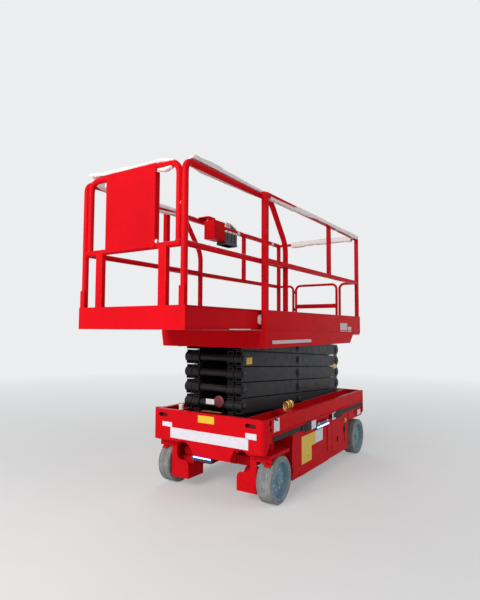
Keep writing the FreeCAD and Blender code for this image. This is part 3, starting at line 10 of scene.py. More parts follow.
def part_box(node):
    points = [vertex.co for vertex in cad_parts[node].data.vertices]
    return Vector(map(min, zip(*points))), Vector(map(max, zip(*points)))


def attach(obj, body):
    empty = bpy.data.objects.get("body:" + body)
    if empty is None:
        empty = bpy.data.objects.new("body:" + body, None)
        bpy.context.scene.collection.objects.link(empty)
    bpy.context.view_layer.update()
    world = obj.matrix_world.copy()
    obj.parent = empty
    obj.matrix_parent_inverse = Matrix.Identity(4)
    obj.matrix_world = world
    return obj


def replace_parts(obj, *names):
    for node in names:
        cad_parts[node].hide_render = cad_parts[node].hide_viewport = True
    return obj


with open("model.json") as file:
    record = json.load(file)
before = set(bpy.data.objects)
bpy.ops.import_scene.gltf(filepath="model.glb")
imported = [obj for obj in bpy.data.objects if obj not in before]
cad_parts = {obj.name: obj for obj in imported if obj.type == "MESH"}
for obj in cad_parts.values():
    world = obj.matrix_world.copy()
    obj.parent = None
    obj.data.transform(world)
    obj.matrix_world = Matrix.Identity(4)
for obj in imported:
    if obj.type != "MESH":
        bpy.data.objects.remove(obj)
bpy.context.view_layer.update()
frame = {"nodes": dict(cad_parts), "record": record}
nodes = frame["nodes"]
materials = {}

# The photograph's camera: its place, and where it looks.
PHOTO_WIDTH = 480
FOCAL_PIXELS = 468.39
SENSOR = 36.0
EYE = Vector((3.9653, 2.4052, 1.4152))
YAW = math.radians(212.954)
PITCH = math.radians(3.486)
ROLL = math.radians(0.265)

# Paints and plastics, as linear colours.
RED = (0.67, 0.005, 0.011)
BLACK = (0.010, 0.011, 0.014)
TYRE_GREY = (0.190, 0.205, 0.210)
RIM_BLUE = (0.125, 0.255, 0.340)
FOAM_WHITE = (0.92, 0.84, 0.83)
LABEL_WHITE = (0.78, 0.79, 0.86)
LABEL_YELLOW = (0.85, 0.56, 0.015)
LABEL_GREY = (0.60, 0.52, 0.52)
BLUE_GLOW = (0.02, 0.06, 1.0)
PALE = (0.84, 0.85, 0.86, 1.0)
BEVEL_SAMPLES = 4

# Left is +1 and right is -1 in every place that is given for one side.
BOTH = (1.0, -1.0)
SIDES = ((1.0, "left"), (-1.0, "right"))
AHEAD = (1, 0, 0)
UP = (0, 0, 1)
CHASSIS_FACE = 0.575
TOE_FACE = 0.552
DOOR_FACE = 0.552
ARM_FACE = 0.2932
FILM = 0.0009

# The roll-out deck: its rails' tube in the solids and as drawn, and how far it slides in.
ROLL_TUBE = 0.019
ROLL_SKIN = 0.0235
ROLL_TRAVEL = 0.900

# The scissor stack: its pins' places, the rise of a stage, and the cylinders' lower pins on their arms.
MIDDLE_X = -0.39295
PIN_FRONT = 0.650
PIN_REAR = -1.4359
PIN_LOW = 0.640
STAGE = 0.131
STAGES = 5
BOSS = 0.0445
INNER_CAP = 0.303
OUTER_CAP = 0.299
ARM_LENGTH = 2.090
FOOT_ALONG = 0.860


def pair(first, second, side):
    """The span between two distances from the centre plane, on one side of it."""
    return sorted((first * side, second * side))


class Material:
    """A node material that is built up by short calls."""

    def __init__(self, name, colour, rough, metal=0.0, coat=0.0, soften=0.0012):
        self.material = bpy.data.materials.new(name)
        self.material.use_nodes = True
        self.tree = self.material.node_tree
        self.shader = self.tree.nodes["Principled BSDF"]
        self.put("Base Color", (*colour, 1.0))
        self.put("Roughness", rough)
        self.put("Metallic", metal)
        self.put("Coat Weight", coat)
        self.put("Coat Roughness", 0.18)
        self.colour = None
        self.height = None
        self.base = colour
        coordinates = self.tree.nodes.new("ShaderNodeTexCoord")
        self.place = coordinates.outputs["Object"]
        if soften:
            rounded = self.node("ShaderNodeBevel", Radius=soften)
            rounded.samples = BEVEL_SAMPLES
            self.height = rounded.outputs["Normal"]
            self.link(self.height, self.shader.inputs["Normal"])

    def put(self, socket, value):
        self.shader.inputs[socket].default_value = value

    def node(self, kind, **inputs):
        """A new node with values for its inputs; a space in a name is written as _."""
        made = self.tree.nodes.new(kind)
        for key, value in inputs.items():
            made.inputs[key.replace("_", " ")].default_value = value
        return made

    def link(self, start, end):
        self.tree.links.new(start, end)

    def mapped(self, stretch):
        mapping = self.node("ShaderNodeMapping", Scale=stretch)
        self.link(self.place, mapping.inputs["Vector"])
        return mapping.outputs["Vector"]

    def noise(self, scale, detail=4.0, rough=0.55, stretch=None):
        """A noise field over the object, stretched where asked."""
        made = self.node("ShaderNodeTexNoise", Scale=scale, Detail=detail, Roughness=rough)
        self.link(self.mapped(stretch) if stretch else self.place, made.inputs["Vector"])
        return made.outputs["Fac"]

    def cells(self, scale):
        """Distance to the nearest cell point."""
        made = self.node("ShaderNodeTexVoronoi", Scale=scale)
        self.link(self.place, made.inputs["Vector"])
        return made.outputs["Distance"]

    def facing_up(self):
        """1 on level upper faces, 0 on walls."""
        geometry = self.node("ShaderNodeNewGeometry")
        made = self.node("ShaderNodeSeparateXYZ")
        self.link(geometry.outputs["Normal"], made.inputs["Vector"])
        return self.span(made.outputs["Z"], 0.5, 0.95)

    def span(self, value, low, high, start=0.0, end=1.0):
        """Map low..high of a value to start..end, held at both ends."""
        made = self.node("ShaderNodeMapRange", From_Min=low, From_Max=high, To_Min=start, To_Max=end)
        self.link(value, made.inputs["Value"])
        return made.outputs["Result"]

    def times(self, first, second):
        made = self.node("ShaderNodeMath")
        made.operation = "MULTIPLY"
        self.link(first, made.inputs[0])
        self.link(second, made.inputs[1])
        return made.outputs[0]

    def tint(self, colour, amount):
        """Mix another colour in by an amount."""
        made = self.node("ShaderNodeMix")
        made.data_type = "RGBA"
        if self.colour is None:
            made.inputs["A"].default_value = (*self.base, 1.0)
        else:
            self.link(self.colour, made.inputs["A"])
        made.inputs["B"].default_value = (*colour, 1.0)
        self.link(amount, made.inputs["Factor"])
        self.colour = made.outputs["Result"]
        self.link(self.colour, self.shader.inputs["Base Color"])

    def roughen(self, value):
        self.link(value, self.shader.inputs["Roughness"])

    def bump(self, value, strength, distance):
        made = self.node("ShaderNodeBump", Strength=strength, Distance=distance)
        self.link(value, made.inputs["Height"])
        if self.height is not None:
            self.link(self.height, made.inputs["Normal"])
        self.height = made.outputs["Normal"]
        self.link(self.height, self.shader.inputs["Normal"])

    def stain(self, colour, field, low, high, most):
        """Mix a colour in where a noise field, given by its settings, runs from low to high."""
        self.tint(colour, self.span(self.noise(*field), low, high, 0.0, most))

    def gloss(self, field, least, most):
        """Roughness between two values, by a noise field."""
        self.roughen(self.span(self.noise(*field), 0.3, 0.8, least, most))

    def grain(self, field, strength, distance):
        """Fine relief by a noise field."""
        self.bump(self.noise(*field), strength, distance)

    def edge_wear_and_highlight(self, colour, width, share):
        """Another colour along the edges, broken up by noise: a darker one is edge wear, a lighter one is a
        painted highlight of a rounded edge.
        """
        bevel = self.node("ShaderNodeBevel", Radius=width)
        bevel.samples = BEVEL_SAMPLES
        geometry = self.node("ShaderNodeNewGeometry")
        dot = self.node("ShaderNodeVectorMath")
        dot.operation = "DOT_PRODUCT"
        self.link(bevel.outputs["Normal"], dot.inputs[0])
        self.link(geometry.outputs["Normal"], dot.inputs[1])
        edge = self.span(dot.outputs["Value"], 0.99, 0.86)
        broken = self.span(self.noise(34.0, 5.0, 0.7), 0.62 - share, 0.70 - share)
        self.tint(colour, self.times(edge, broken))


def finish(key, name, colour, rough, **rest):
    """A new material under its short name."""
    made = Material(name, colour, rough, **rest)
    materials[key] = made.material
    return made


def paint(key, name, colour, rough=0.34):
    """Sprayed enamel with orange peel, handling marks, settled dust, chipped edges and a painted highlight
    along the edges.
    """
    made = finish(key, name, colour, rough, soften=0.0022)
    made.put("Specular IOR Level", 0.03)
    made.stain(tuple(c * 0.84 for c in colour), (1.3, 3.0), 0.40, 0.72, 0.7)
    made.stain(tuple(min(1.0, c * 1.10) for c in colour), (4.0, 3.0), 0.5, 0.75, 0.5)
    made.stain((0.34, 0.012, 0.014), (11.0, 6.0, 0.65, (1.0, 1.0, 0.22)), 0.60, 0.82, 0.22)
    settled = made.span(made.noise(7.0, 8.0, 0.7), 0.42, 0.78, 0.25, 1.0)
    dust = made.span(settled, 0.0, 1.0, 0.0, 0.10)
    made.tint((0.46, 0.36, 0.32), made.times(made.times(made.facing_up(), settled), dust))
    # A lighter red along the edges is a painted highlight of rounded edges, broken up by noise; the darker
    # tint after it is chipped paint.
    made.edge_wear_and_highlight(tuple(min(1.0, c * 1.3 + 0.05) for c in colour), 0.0030, 0.12)
    made.edge_wear_and_highlight((0.20, 0.15, 0.14), 0.0016, 0.02)
    made.gloss((9.0, 6.0, 0.65), rough - 0.08, rough + 0.18)
    made.grain((240.0, 2.0), 0.04, 0.0006)
    made.grain((3.0, 2.0), 0.05, 0.02)


def finishes():
    """Every material of the machine."""
    paint("red_paint", "Red enamel", RED)
    paint("red_board", "Red enamel board", tuple(c * 0.92 for c in RED), rough=0.40)
    made = finish("black_paint", "Black enamel", BLACK, 0.40, soften=0.0022)
    made.put("Specular IOR Level", 0.22)
    made.stain((0.020, 0.022, 0.028), (3.0, 5.0), 0.45, 0.8, 0.8)
    made.stain((0.09, 0.08, 0.075), (6.0, 8.0, 0.7, (0.3, 1.0, 1.0)), 0.60, 0.86, 0.20)
    dust = made.span(made.noise(9.0, 7.0, 0.7), 0.4, 0.8, 0.1, 0.5)
    made.tint((0.16, 0.15, 0.14), made.times(made.facing_up(), dust))
    # Lighter grey along the edges: partly worn paint, partly a painted highlight of rounded edges.
    made.edge_wear_and_highlight((0.10, 0.10, 0.115), 0.0030, 0.10)
    made.gloss((16.0, 6.0), 0.32, 0.56)
    made.grain((260.0, 2.0), 0.06, 0.0006)
    made = finish("pin_cap", "Oiled pin cap", (0.030, 0.030, 0.034), 0.42, metal=0.6)
    made.stain((0.20, 0.20, 0.20), (70.0, 6.0, 0.7), 0.58, 0.76, 0.7)
    made.gloss((60.0, 4.0), 0.30, 0.55)
    # Maroon: the colour of the round stack cover, and painted shade inside the slot pockets at the front.
    made = finish("maroon", "Maroon cover and slot shade", (0.135, 0.006, 0.012), 0.45)
    made.stain((0.05, 0.004, 0.006), (20.0, 5.0), 0.45, 0.8, 0.7)
    made = finish("tan", "Tan plate", (0.42, 0.20, 0.05), 0.55)
    made.stain((0.28, 0.12, 0.03), (30.0, 5.0), 0.45, 0.8, 0.7)

    made = finish("grey_tyre", "Grey non-marking rubber", TYRE_GREY, 0.85, soften=0.0030)
    made.stain((0.42, 0.42, 0.40), (12.0, 7.0, 0.7), 0.46, 0.74, 0.8)
    made.stain((0.13, 0.14, 0.14), (26.0, 5.0, 0.7), 0.58, 0.80, 0.6)
    made.stain((0.55, 0.54, 0.50), (70.0, 4.0, 0.75), 0.66, 0.78, 0.7)
    # Paler grey along the edges: partly scuffed rubber, partly a painted highlight of rounded edges.
    made.edge_wear_and_highlight((0.55, 0.56, 0.55), 0.0060, 0.22)
    made.grain((60.0, 8.0, 0.7), 0.45, 0.004)
    made.bump(made.cells(120.0), 0.18, 0.002)
    made = finish("grey_rim", "Blue grey rim paint", RIM_BLUE, 0.46, coat=0.08, soften=0.0025)
    made.stain((0.24, 0.31, 0.33), (14.0, 6.0, 0.7), 0.46, 0.74, 0.75)
    made.stain((0.07, 0.07, 0.065), (9.0, 8.0, 0.75), 0.58, 0.85, 0.55)
    made.stain((0.30, 0.15, 0.08), (31.0, 6.0, 0.7), 0.68, 0.80, 0.5)
    # Paler blue grey along the edges: partly chipped paint, partly a painted highlight of rounded edges.
    made.edge_wear_and_highlight((0.45, 0.49, 0.50), 0.0030, 0.18)
    made.grain((200.0, 3.0), 0.10, 0.0008)

    made = finish("bright_steel", "Ground steel", (0.62, 0.63, 0.65), 0.16, metal=1.0)
    made.gloss((60.0, 5.0), 0.10, 0.30)
    made.stain((0.40, 0.40, 0.40), (30.0, 4.0), 0.5, 0.8, 0.5)
    made = finish("zinc", "Zinc plated steel", (0.55, 0.54, 0.50), 0.34, metal=1.0, soften=0.0006)
    made.stain((0.40, 0.36, 0.28), (45.0, 5.0), 0.45, 0.8, 0.7)
    made.gloss((90.0, 4.0), 0.25, 0.5)
    made = finish("brass", "Brass", (0.72, 0.46, 0.13), 0.30, metal=1.0, soften=0.0006)
    made.stain((0.42, 0.25, 0.07), (60.0, 5.0), 0.45, 0.8, 0.8)
    made.gloss((80.0, 4.0), 0.22, 0.5)
    made = finish("deck_steel", "Deck plate", (0.33, 0.34, 0.35), 0.42, metal=0.9)
    made.stain((0.12, 0.11, 0.10), (6.0, 8.0, 0.7), 0.5, 0.8, 0.7)
    made.stain((0.55, 0.55, 0.54), (22.0, 6.0, 0.7), 0.6, 0.85, 0.6)
    made.grain((160.0, 4.0), 0.2, 0.001)
    made = finish("black_rubber", "Black rubber", (0.012, 0.012, 0.014), 0.62)
    made.put("Specular IOR Level", 0.25)
    made.stain((0.035, 0.032, 0.03), (20.0, 6.0), 0.5, 0.8, 0.6)
    made.grain((240.0, 3.0), 0.15, 0.0008)
    made = finish("lamp_blue", "Lamp housing", (0.016, 0.020, 0.045), 0.35, coat=0.2)
    made.stain((0.04, 0.05, 0.09), (40.0, 5.0), 0.45, 0.8, 0.6)
    made.grain((200.0, 3.0), 0.05, 0.0005)
    made = finish("glow", "Lit blue lens", (0.05, 0.12, 0.9), 0.20, coat=0.6)
    made.put("Emission Color", (*BLUE_GLOW, 1.0))
    made.put("Emission Strength", 5.0)
    made.bump(made.cells(260.0), 0.25, 0.001)
    made = finish("diodes", "Lit diodes", (0.4, 0.6, 1.0), 0.30)
    made.put("Emission Color", (0.25, 0.55, 1.0, 1.0))
    made.put("Emission Strength", 9.0)
    made.bump(made.cells(180.0), 0.1, 0.0006)

    made = finish("white_foam", "White foam", FOAM_WHITE, 0.80, soften=0.004)
    made.stain((0.66, 0.56, 0.56), (6.0, 7.0, 0.7), 0.5, 0.85, 0.6)
    made.stain((0.40, 0.33, 0.30), (15.0, 8.0, 0.75), 0.66, 0.85, 0.40)
    made.grain((48.0, 4.0), 0.45, 0.003)
    made.bump(made.cells(420.0), 0.15, 0.0006)
    made = finish("tape", "Packing tape", (0.78, 0.72, 0.66), 0.24, coat=0.4)
    made.stain((0.60, 0.50, 0.42), (35.0, 5.0), 0.45, 0.8, 0.6)
    made.grain((90.0, 5.0), 0.35, 0.0012)
    made = finish("nylon", "White nylon", (0.80, 0.79, 0.76), 0.38)
    made.stain((0.55, 0.50, 0.45), (40.0, 6.0), 0.5, 0.8, 0.6)
    made.grain((200.0, 3.0), 0.08, 0.0005)
    made = finish("battery_case", "Battery case", (0.02, 0.021, 0.024), 0.5)
    made.stain((0.06, 0.06, 0.065), (12.0, 6.0), 0.5, 0.8, 0.7)
    made.grain((300.0, 3.0), 0.12, 0.0006)
    made = finish("control_plastic", "Textured plastic", (0.035, 0.035, 0.04), 0.55)
    made.stain((0.09, 0.09, 0.09), (25.0, 6.0), 0.5, 0.8, 0.5)
    made.grain((500.0, 2.0), 0.2, 0.0005)

    for colour_name, colour in (("white", LABEL_WHITE), ("yellow", LABEL_YELLOW), ("grey", LABEL_GREY)):
        made = finish("label_" + colour_name, "Label " + colour_name, colour, 0.34, coat=0.15, soften=0.0004)
        made.stain(tuple(c * 0.75 for c in colour), (25.0, 6.0), 0.45, 0.8, 0.5)
        made.stain((0.35, 0.30, 0.27), (60.0, 6.0, 0.7), 0.64, 0.82, 0.5)
        made.gloss((40.0, 5.0), 0.26, 0.50)
        made.grain((30.0, 3.0), 0.10, 0.0008)


class Form:
    """A mesh that is put together from bevelled blocks, turned bars and swept sections."""

    def __init__(self, name):
        self.name = name
        self.mesh = bmesh.new()

    def block(self, x, y, z, bevel=0.0, turn=None, segments=2):
        """A block between planes, with rounded edges, turned about its own middle by turn."""
        middle = Vector((sum(x) / 2, sum(y) / 2, sum(z) / 2))
        size = Matrix.Diagonal((abs(x[1] - x[0]), abs(y[1] - y[0]), abs(z[1] - z[0]), 1.0))
        spin = turn.to_4x4() if turn is not None else Matrix.Identity(4)
        made = bmesh.ops.create_cube(self.mesh, size=1.0, matrix=Matrix.Translation(middle) @ spin @ size)
        if bevel:
            edges = list({edge for vertex in made["verts"] for edge in vertex.link_edges})
            bmesh.ops.bevel(self.mesh, geom=edges, offset=bevel, segments=segments, profile=0.7,
                            affect="EDGES")
        return self

    def turned(self, start, axis, profile, segments=24):
        """A closed turned form: (distance along the axis, radius) from a start point."""
        axis = Vector(axis).normalized()
        side = axis.orthogonal().normalized()
        other = axis.cross(side)
        start = Vector(start)
        rings = []
        for along, radius in profile:
            ring = []
            for index in range(segments):
                angle = 2 * math.pi * index / segments
                spoke = side * math.cos(angle) + other * math.sin(angle)
                ring.append(self.mesh.verts.new(start + axis * along + spoke * radius))
            rings.append(ring)
        for first, second in zip(rings, rings[1:]):
            for index in range(segments):
                after = (index + 1) % segments
                self.mesh.faces.new((first[index], first[after], second[after], second[index]))
        self.mesh.faces.new(tuple(reversed(rings[0])))
        self.mesh.faces.new(tuple(rings[-1]))
        return self

    def ring(self, centre, axis, major, minor, segments=48, sides=10):
        """A torus about an axis."""
        axis = Vector(axis).normalized()
        side = axis.orthogonal().normalized()
        other = axis.cross(side)
        loops = []
        for index in range(segments):
            angle = 2 * math.pi * index / segments
            spoke = side * math.cos(angle) + other * math.sin(angle)
            loop = []
            for turn in range(sides):
                around = 2 * math.pi * turn / sides
                reach = spoke * (major + minor * math.cos(around))
                loop.append(self.mesh.verts.new(Vector(centre) + reach + axis * minor * math.sin(around)))
            loops.append(loop)
        self.bridge(loops, closed=True)
        return self

    def bridge(self, loops, closed=False):
        count = len(loops)
        for index in range(count if closed else count - 1):
            first, second = loops[index], loops[(index + 1) % count]
            sides = len(first)
            for turn in range(sides):
                after = (turn + 1) % sides
                self.mesh.faces.new((first[turn], first[after], second[after], second[turn]))

    def bar(self, points, radius, sides=10, closed=False):
        """A round bar along a smooth line of points."""
        points = [Vector(point) for point in points]
        count = len(points)
        loops = []
        last_side = None
        for index, point in enumerate(points):
            before = points[index - 1] if index or closed else point
            after = points[(index + 1) % count] if index < count - 1 or closed else point
            ahead = (after - before).normalized()
            side = ahead.orthogonal() if last_side is None else last_side - ahead * last_side.dot(ahead)
            side.normalize()
            last_side = side
            other = ahead.cross(side)
            loop = []
            for turn in range(sides):
                angle = 2 * math.pi * turn / sides
                spoke = side * math.cos(angle) + other * math.sin(angle)
                loop.append(self.mesh.verts.new(point + spoke * radius))
            loops.append(loop)
        self.bridge(loops, closed)
        if not closed:
            self.mesh.faces.new(tuple(reversed(loops[0])))
            self.mesh.faces.new(tuple(loops[-1]))
        return self

    def bolt(self, place, axis, size=0.010, washer=True):
        """A hexagon head on its washer."""
        axis = Vector(axis).normalized()
        place = Vector(place)
        if washer:
            self.turned(place - axis * size * 0.1, axis, ((0, size * 1.05), (size * 0.25, size * 1.05)), 16)
            place = place + axis * size * 0.15
        head = ((0, size * 0.80), (size * 0.50, size * 0.80), (size * 0.62, size * 0.62))
        self.turned(place, axis, head, 6)
        return self

    def blocks(self, x, y, z, bevel=0.0):
        """A block and its mirror image; y is its span on the left."""
        for side in BOTH:
            self.block(x, pair(*y, side), z, bevel)

    def bolts(self, places, axis, size=0.010, washer=True):
        """Bolts at places on the left and at their mirror images; axis "y" is outwards."""
        for side in BOTH:
            way = (0, side, 0) if axis == "y" else axis
            for x, y, z in places:
                self.bolt((x, y * side, z), way, size, washer)

    def red(self, body):
        """Finish the piece in the machine's red."""
        return self.done(body, "red_paint", "red_paint")

    def done(self, body, material, slot, smooth=35.0):
        """Turn the mesh into a piece that rides on a body."""
        bmesh.ops.recalc_face_normals(self.mesh, faces=self.mesh.faces)
        data = bpy.data.meshes.new(self.name)
        self.mesh.to_mesh(data)
        self.mesh.free()
        data.materials.append(materials[material])
        if smooth:
            data.shade_smooth()
            data.set_sharp_from_angle(angle=math.radians(smooth))
        made = bpy.data.objects.new(self.name, data)
        bpy.context.scene.collection.objects.link(made)
        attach(made, body)
        return made


def camera():
    """The photograph's camera."""
    data = bpy.data.cameras.new("Camera")
    data.sensor_fit = "HORIZONTAL"
    data.sensor_width = SENSOR
    data.lens = FOCAL_PIXELS / PHOTO_WIDTH * SENSOR
    data.clip_end = 200.0
    made = bpy.data.objects.new("Camera", data)
    look = Vector((math.cos(PITCH) * math.cos(YAW), math.cos(PITCH) * math.sin(YAW), math.sin(PITCH)))
    level = look.cross(Vector(UP)).normalized()
    upright = level.cross(look)
    right = level * math.cos(ROLL) + upright * math.sin(ROLL)
    up = upright * math.cos(ROLL) - level * math.sin(ROLL)
    turn = Matrix((right, up, -look)).transposed()
    made.matrix_world = Matrix.Translation(EYE) @ turn.to_4x4()
    bpy.context.scene.collection.objects.link(made)
    bpy.context.scene.camera = made


def lamp(name, place, size, power, colour=(1.0, 1.0, 1.0)):
    data = bpy.data.lights.new(name, "AREA")
    data.shape = "RECTANGLE"
    data.size, data.size_y = size
    data.energy = power
    data.color = colour
    made = bpy.data.objects.new(name, data)
    made.location = place
    aim = Vector((0, 0, 1.2)) - Vector(place)
    made.rotation_euler = aim.to_track_quat("-Z", "Y").to_euler()
    bpy.context.scene.collection.objects.link(made)


def seen_or_glossy(tree):
    """1 for rays from the camera, from gloss and through glass."""
    path = tree.nodes.new("ShaderNodeLightPath")
    total = path.outputs["Is Camera Ray"]
    for name in ("Is Glossy Ray", "Is Transmission Ray"):
        made = tree.nodes.new("ShaderNodeMath")
        made.operation = "ADD"
        made.use_clamp = True
        tree.links.new(total, made.inputs[0])
        tree.links.new(path.outputs[name], made.inputs[1])
        total = made.outputs[0]
    return total


def studio():
    """A pale floor, a pale world and soft lamps."""
    mesh = bpy.data.meshes.new("Floor")
    far = 60
    mesh.from_pydata([(-far, -far, 0), (far, -far, 0), (far, far, 0), (-far, far, 0)], [], [(0, 1, 2, 3)])
    floor = bpy.data.objects.new("Floor", mesh)
    made = Material("Pale floor", (0.80, 0.80, 0.79), 0.8, soften=0.0)
    made.tint((0.72, 0.72, 0.71), made.span(made.noise(2.0, 8.0, 0.7), 0.4, 0.8, 0.0, 0.35))
    made.put("Specular IOR Level", 0.1)
    distance = made.node("ShaderNodeVectorMath")
    distance.operation = "LENGTH"
    made.link(made.place, distance.inputs[0])
    pale = made.node("ShaderNodeEmission", Color=PALE)
    blend = made.node("ShaderNodeMixShader")
    share = made.span(distance.outputs["Value"], 2.0, 11.0, 0.35, 1.0)
    made.link(made.times(seen_or_glossy(made.tree), share), blend.inputs[0])
    made.link(made.shader.outputs[0], blend.inputs[1])
    made.link(pale.outputs[0], blend.inputs[2])
    made.link(blend.outputs[0], made.tree.nodes["Material Output"].inputs["Surface"])
    mesh.materials.append(made.material)
    bpy.context.scene.collection.objects.link(floor)
    world = bpy.data.worlds.new("Studio")
    bpy.context.scene.world = world
    world.use_nodes = True
    tree = world.node_tree
    light = tree.nodes["Background"]
    light.inputs["Color"].default_value = (0.84, 0.86, 0.90, 1.0)
    light.inputs["Strength"].default_value = 0.34
    shown = tree.nodes.new("ShaderNodeBackground")
    shown.inputs["Color"].default_value = PALE
    shown.inputs["Strength"].default_value = 1.0
    mix = tree.nodes.new("ShaderNodeMixShader")
    tree.links.new(seen_or_glossy(tree), mix.inputs[0])
    tree.links.new(light.outputs[0], mix.inputs[1])
    tree.links.new(shown.outputs[0], mix.inputs[2])
    tree.links.new(mix.outputs[0], tree.nodes["World Output"].inputs["Surface"])
    lamp("Key", (7.5, -0.5, 4.2), (4.0, 3.0), 440.0, (1.0, 0.98, 0.95))
    lamp("Fill", (-1.5, 7.5, 4.5), (5.0, 3.0), 120.0, (0.95, 0.97, 1.0))
    lamp("Back", (-6.5, -5.0, 6.0), (5.0, 5.0), 170.0)


def between(rows, share):
    """Values of a table's rows at a share of the run; the first column is the share."""
    for first, second in zip(rows, rows[1:]):
        if share <= second[0]:
            part = (share - first[0]) / (second[0] - first[0])
            part = part * part * (3 - 2 * part)
            return [a + (b - a) * part for a, b in zip(first[1:], second[1:])]
    return rows[-1][1:]


def foam_run(form, ends, rail, half, rows, seed, along="x", side=1.0, round_rail=False):
    """Split foam sleeve on a rail: each row is (share of the run, inner lip, outer lip, wall, lift)."""
    start, end = ends
    steps = max(8, int(abs(end - start) / 0.016))
    count = 19
    loops = []
    for step in range(steps + 1):
        share = step / steps
        place = start + (end - start) * share
        inner_lip, outer_lip, wall, lift = between(rows, share)
        slow = noise.noise(Vector((place * 4.2, seed, 0.3)))
        quick = noise.noise(Vector((place * 17.0, seed, 1.7)))
        inner_lip += 9.0 * slow + 5.0 * quick
        outer_lip += 9.0 * slow - 4.0 * quick
        wall *= 1.0 + 0.22 * slow + 0.16 * quick
        if step in (0, steps):
            wall *= 0.80
        outer, inner = [], []
        for index in range(count):
            part = index / (count - 1)
            angle = math.radians(inner_lip + (outer_lip - inner_lip) * part)
            across, rise = math.sin(angle), math.cos(angle)
            reach = half
            if not round_rail:
                reach = min(half / max(abs(across), abs(rise)), half * 1.20)
            lump = 0.0022 * noise.noise(Vector((place * 30.0, index * 0.5, seed)))
            thick = wall * (0.62 + 0.38 * max(0.0, math.sin(math.pi * part)) ** 0.5) + lump
            inner.append((across * (reach + 0.0006), rise * (reach + 0.0006) + lift))
            outer.append((across * (reach + thick), rise * (reach + thick) + lift))
        made = []
        for across, rise in outer + inner[::-1]:
            if along == "x":
                point = (place, rail[0] + across * side, rail[1] + rise)
            else:
                point = (rail[0] + across, place, rail[1] + rise)
            made.append(form.mesh.verts.new(point))
        loops.append(made)
    form.bridge(loops)
    form.mesh.faces.new(tuple(reversed(loops[0])))
    form.mesh.faces.new(tuple(loops[-1]))


def foam_band(form, place, rail, half):
    """A turn of tape round a square rail that lies along x."""
    section = []
    for index in range(24):
        angle = 2 * math.pi * index / 24
        across, rise = math.sin(angle), math.cos(angle)
        far = min(half / max(abs(across), abs(rise)), half * 1.18) + 0.0012
        section.append((across * far, rise * far))
    loops = []
    for offset, scale in ((-0.024, 0.94), (-0.024, 1.0), (0.024, 1.0), (0.024, 0.94)):
        loops.append([form.mesh.verts.new((place + offset, rail[0] + across * scale, rail[1] + rise * scale))
                      for across, rise in section])
    form.bridge(loops, closed=True)


def wrapped(form, body, node):
    """Finish a foam piece in the place of its plain solid."""
    wrap = form.done(body, "white_foam", "white_foam", 60.0)
    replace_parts(wrap, node)


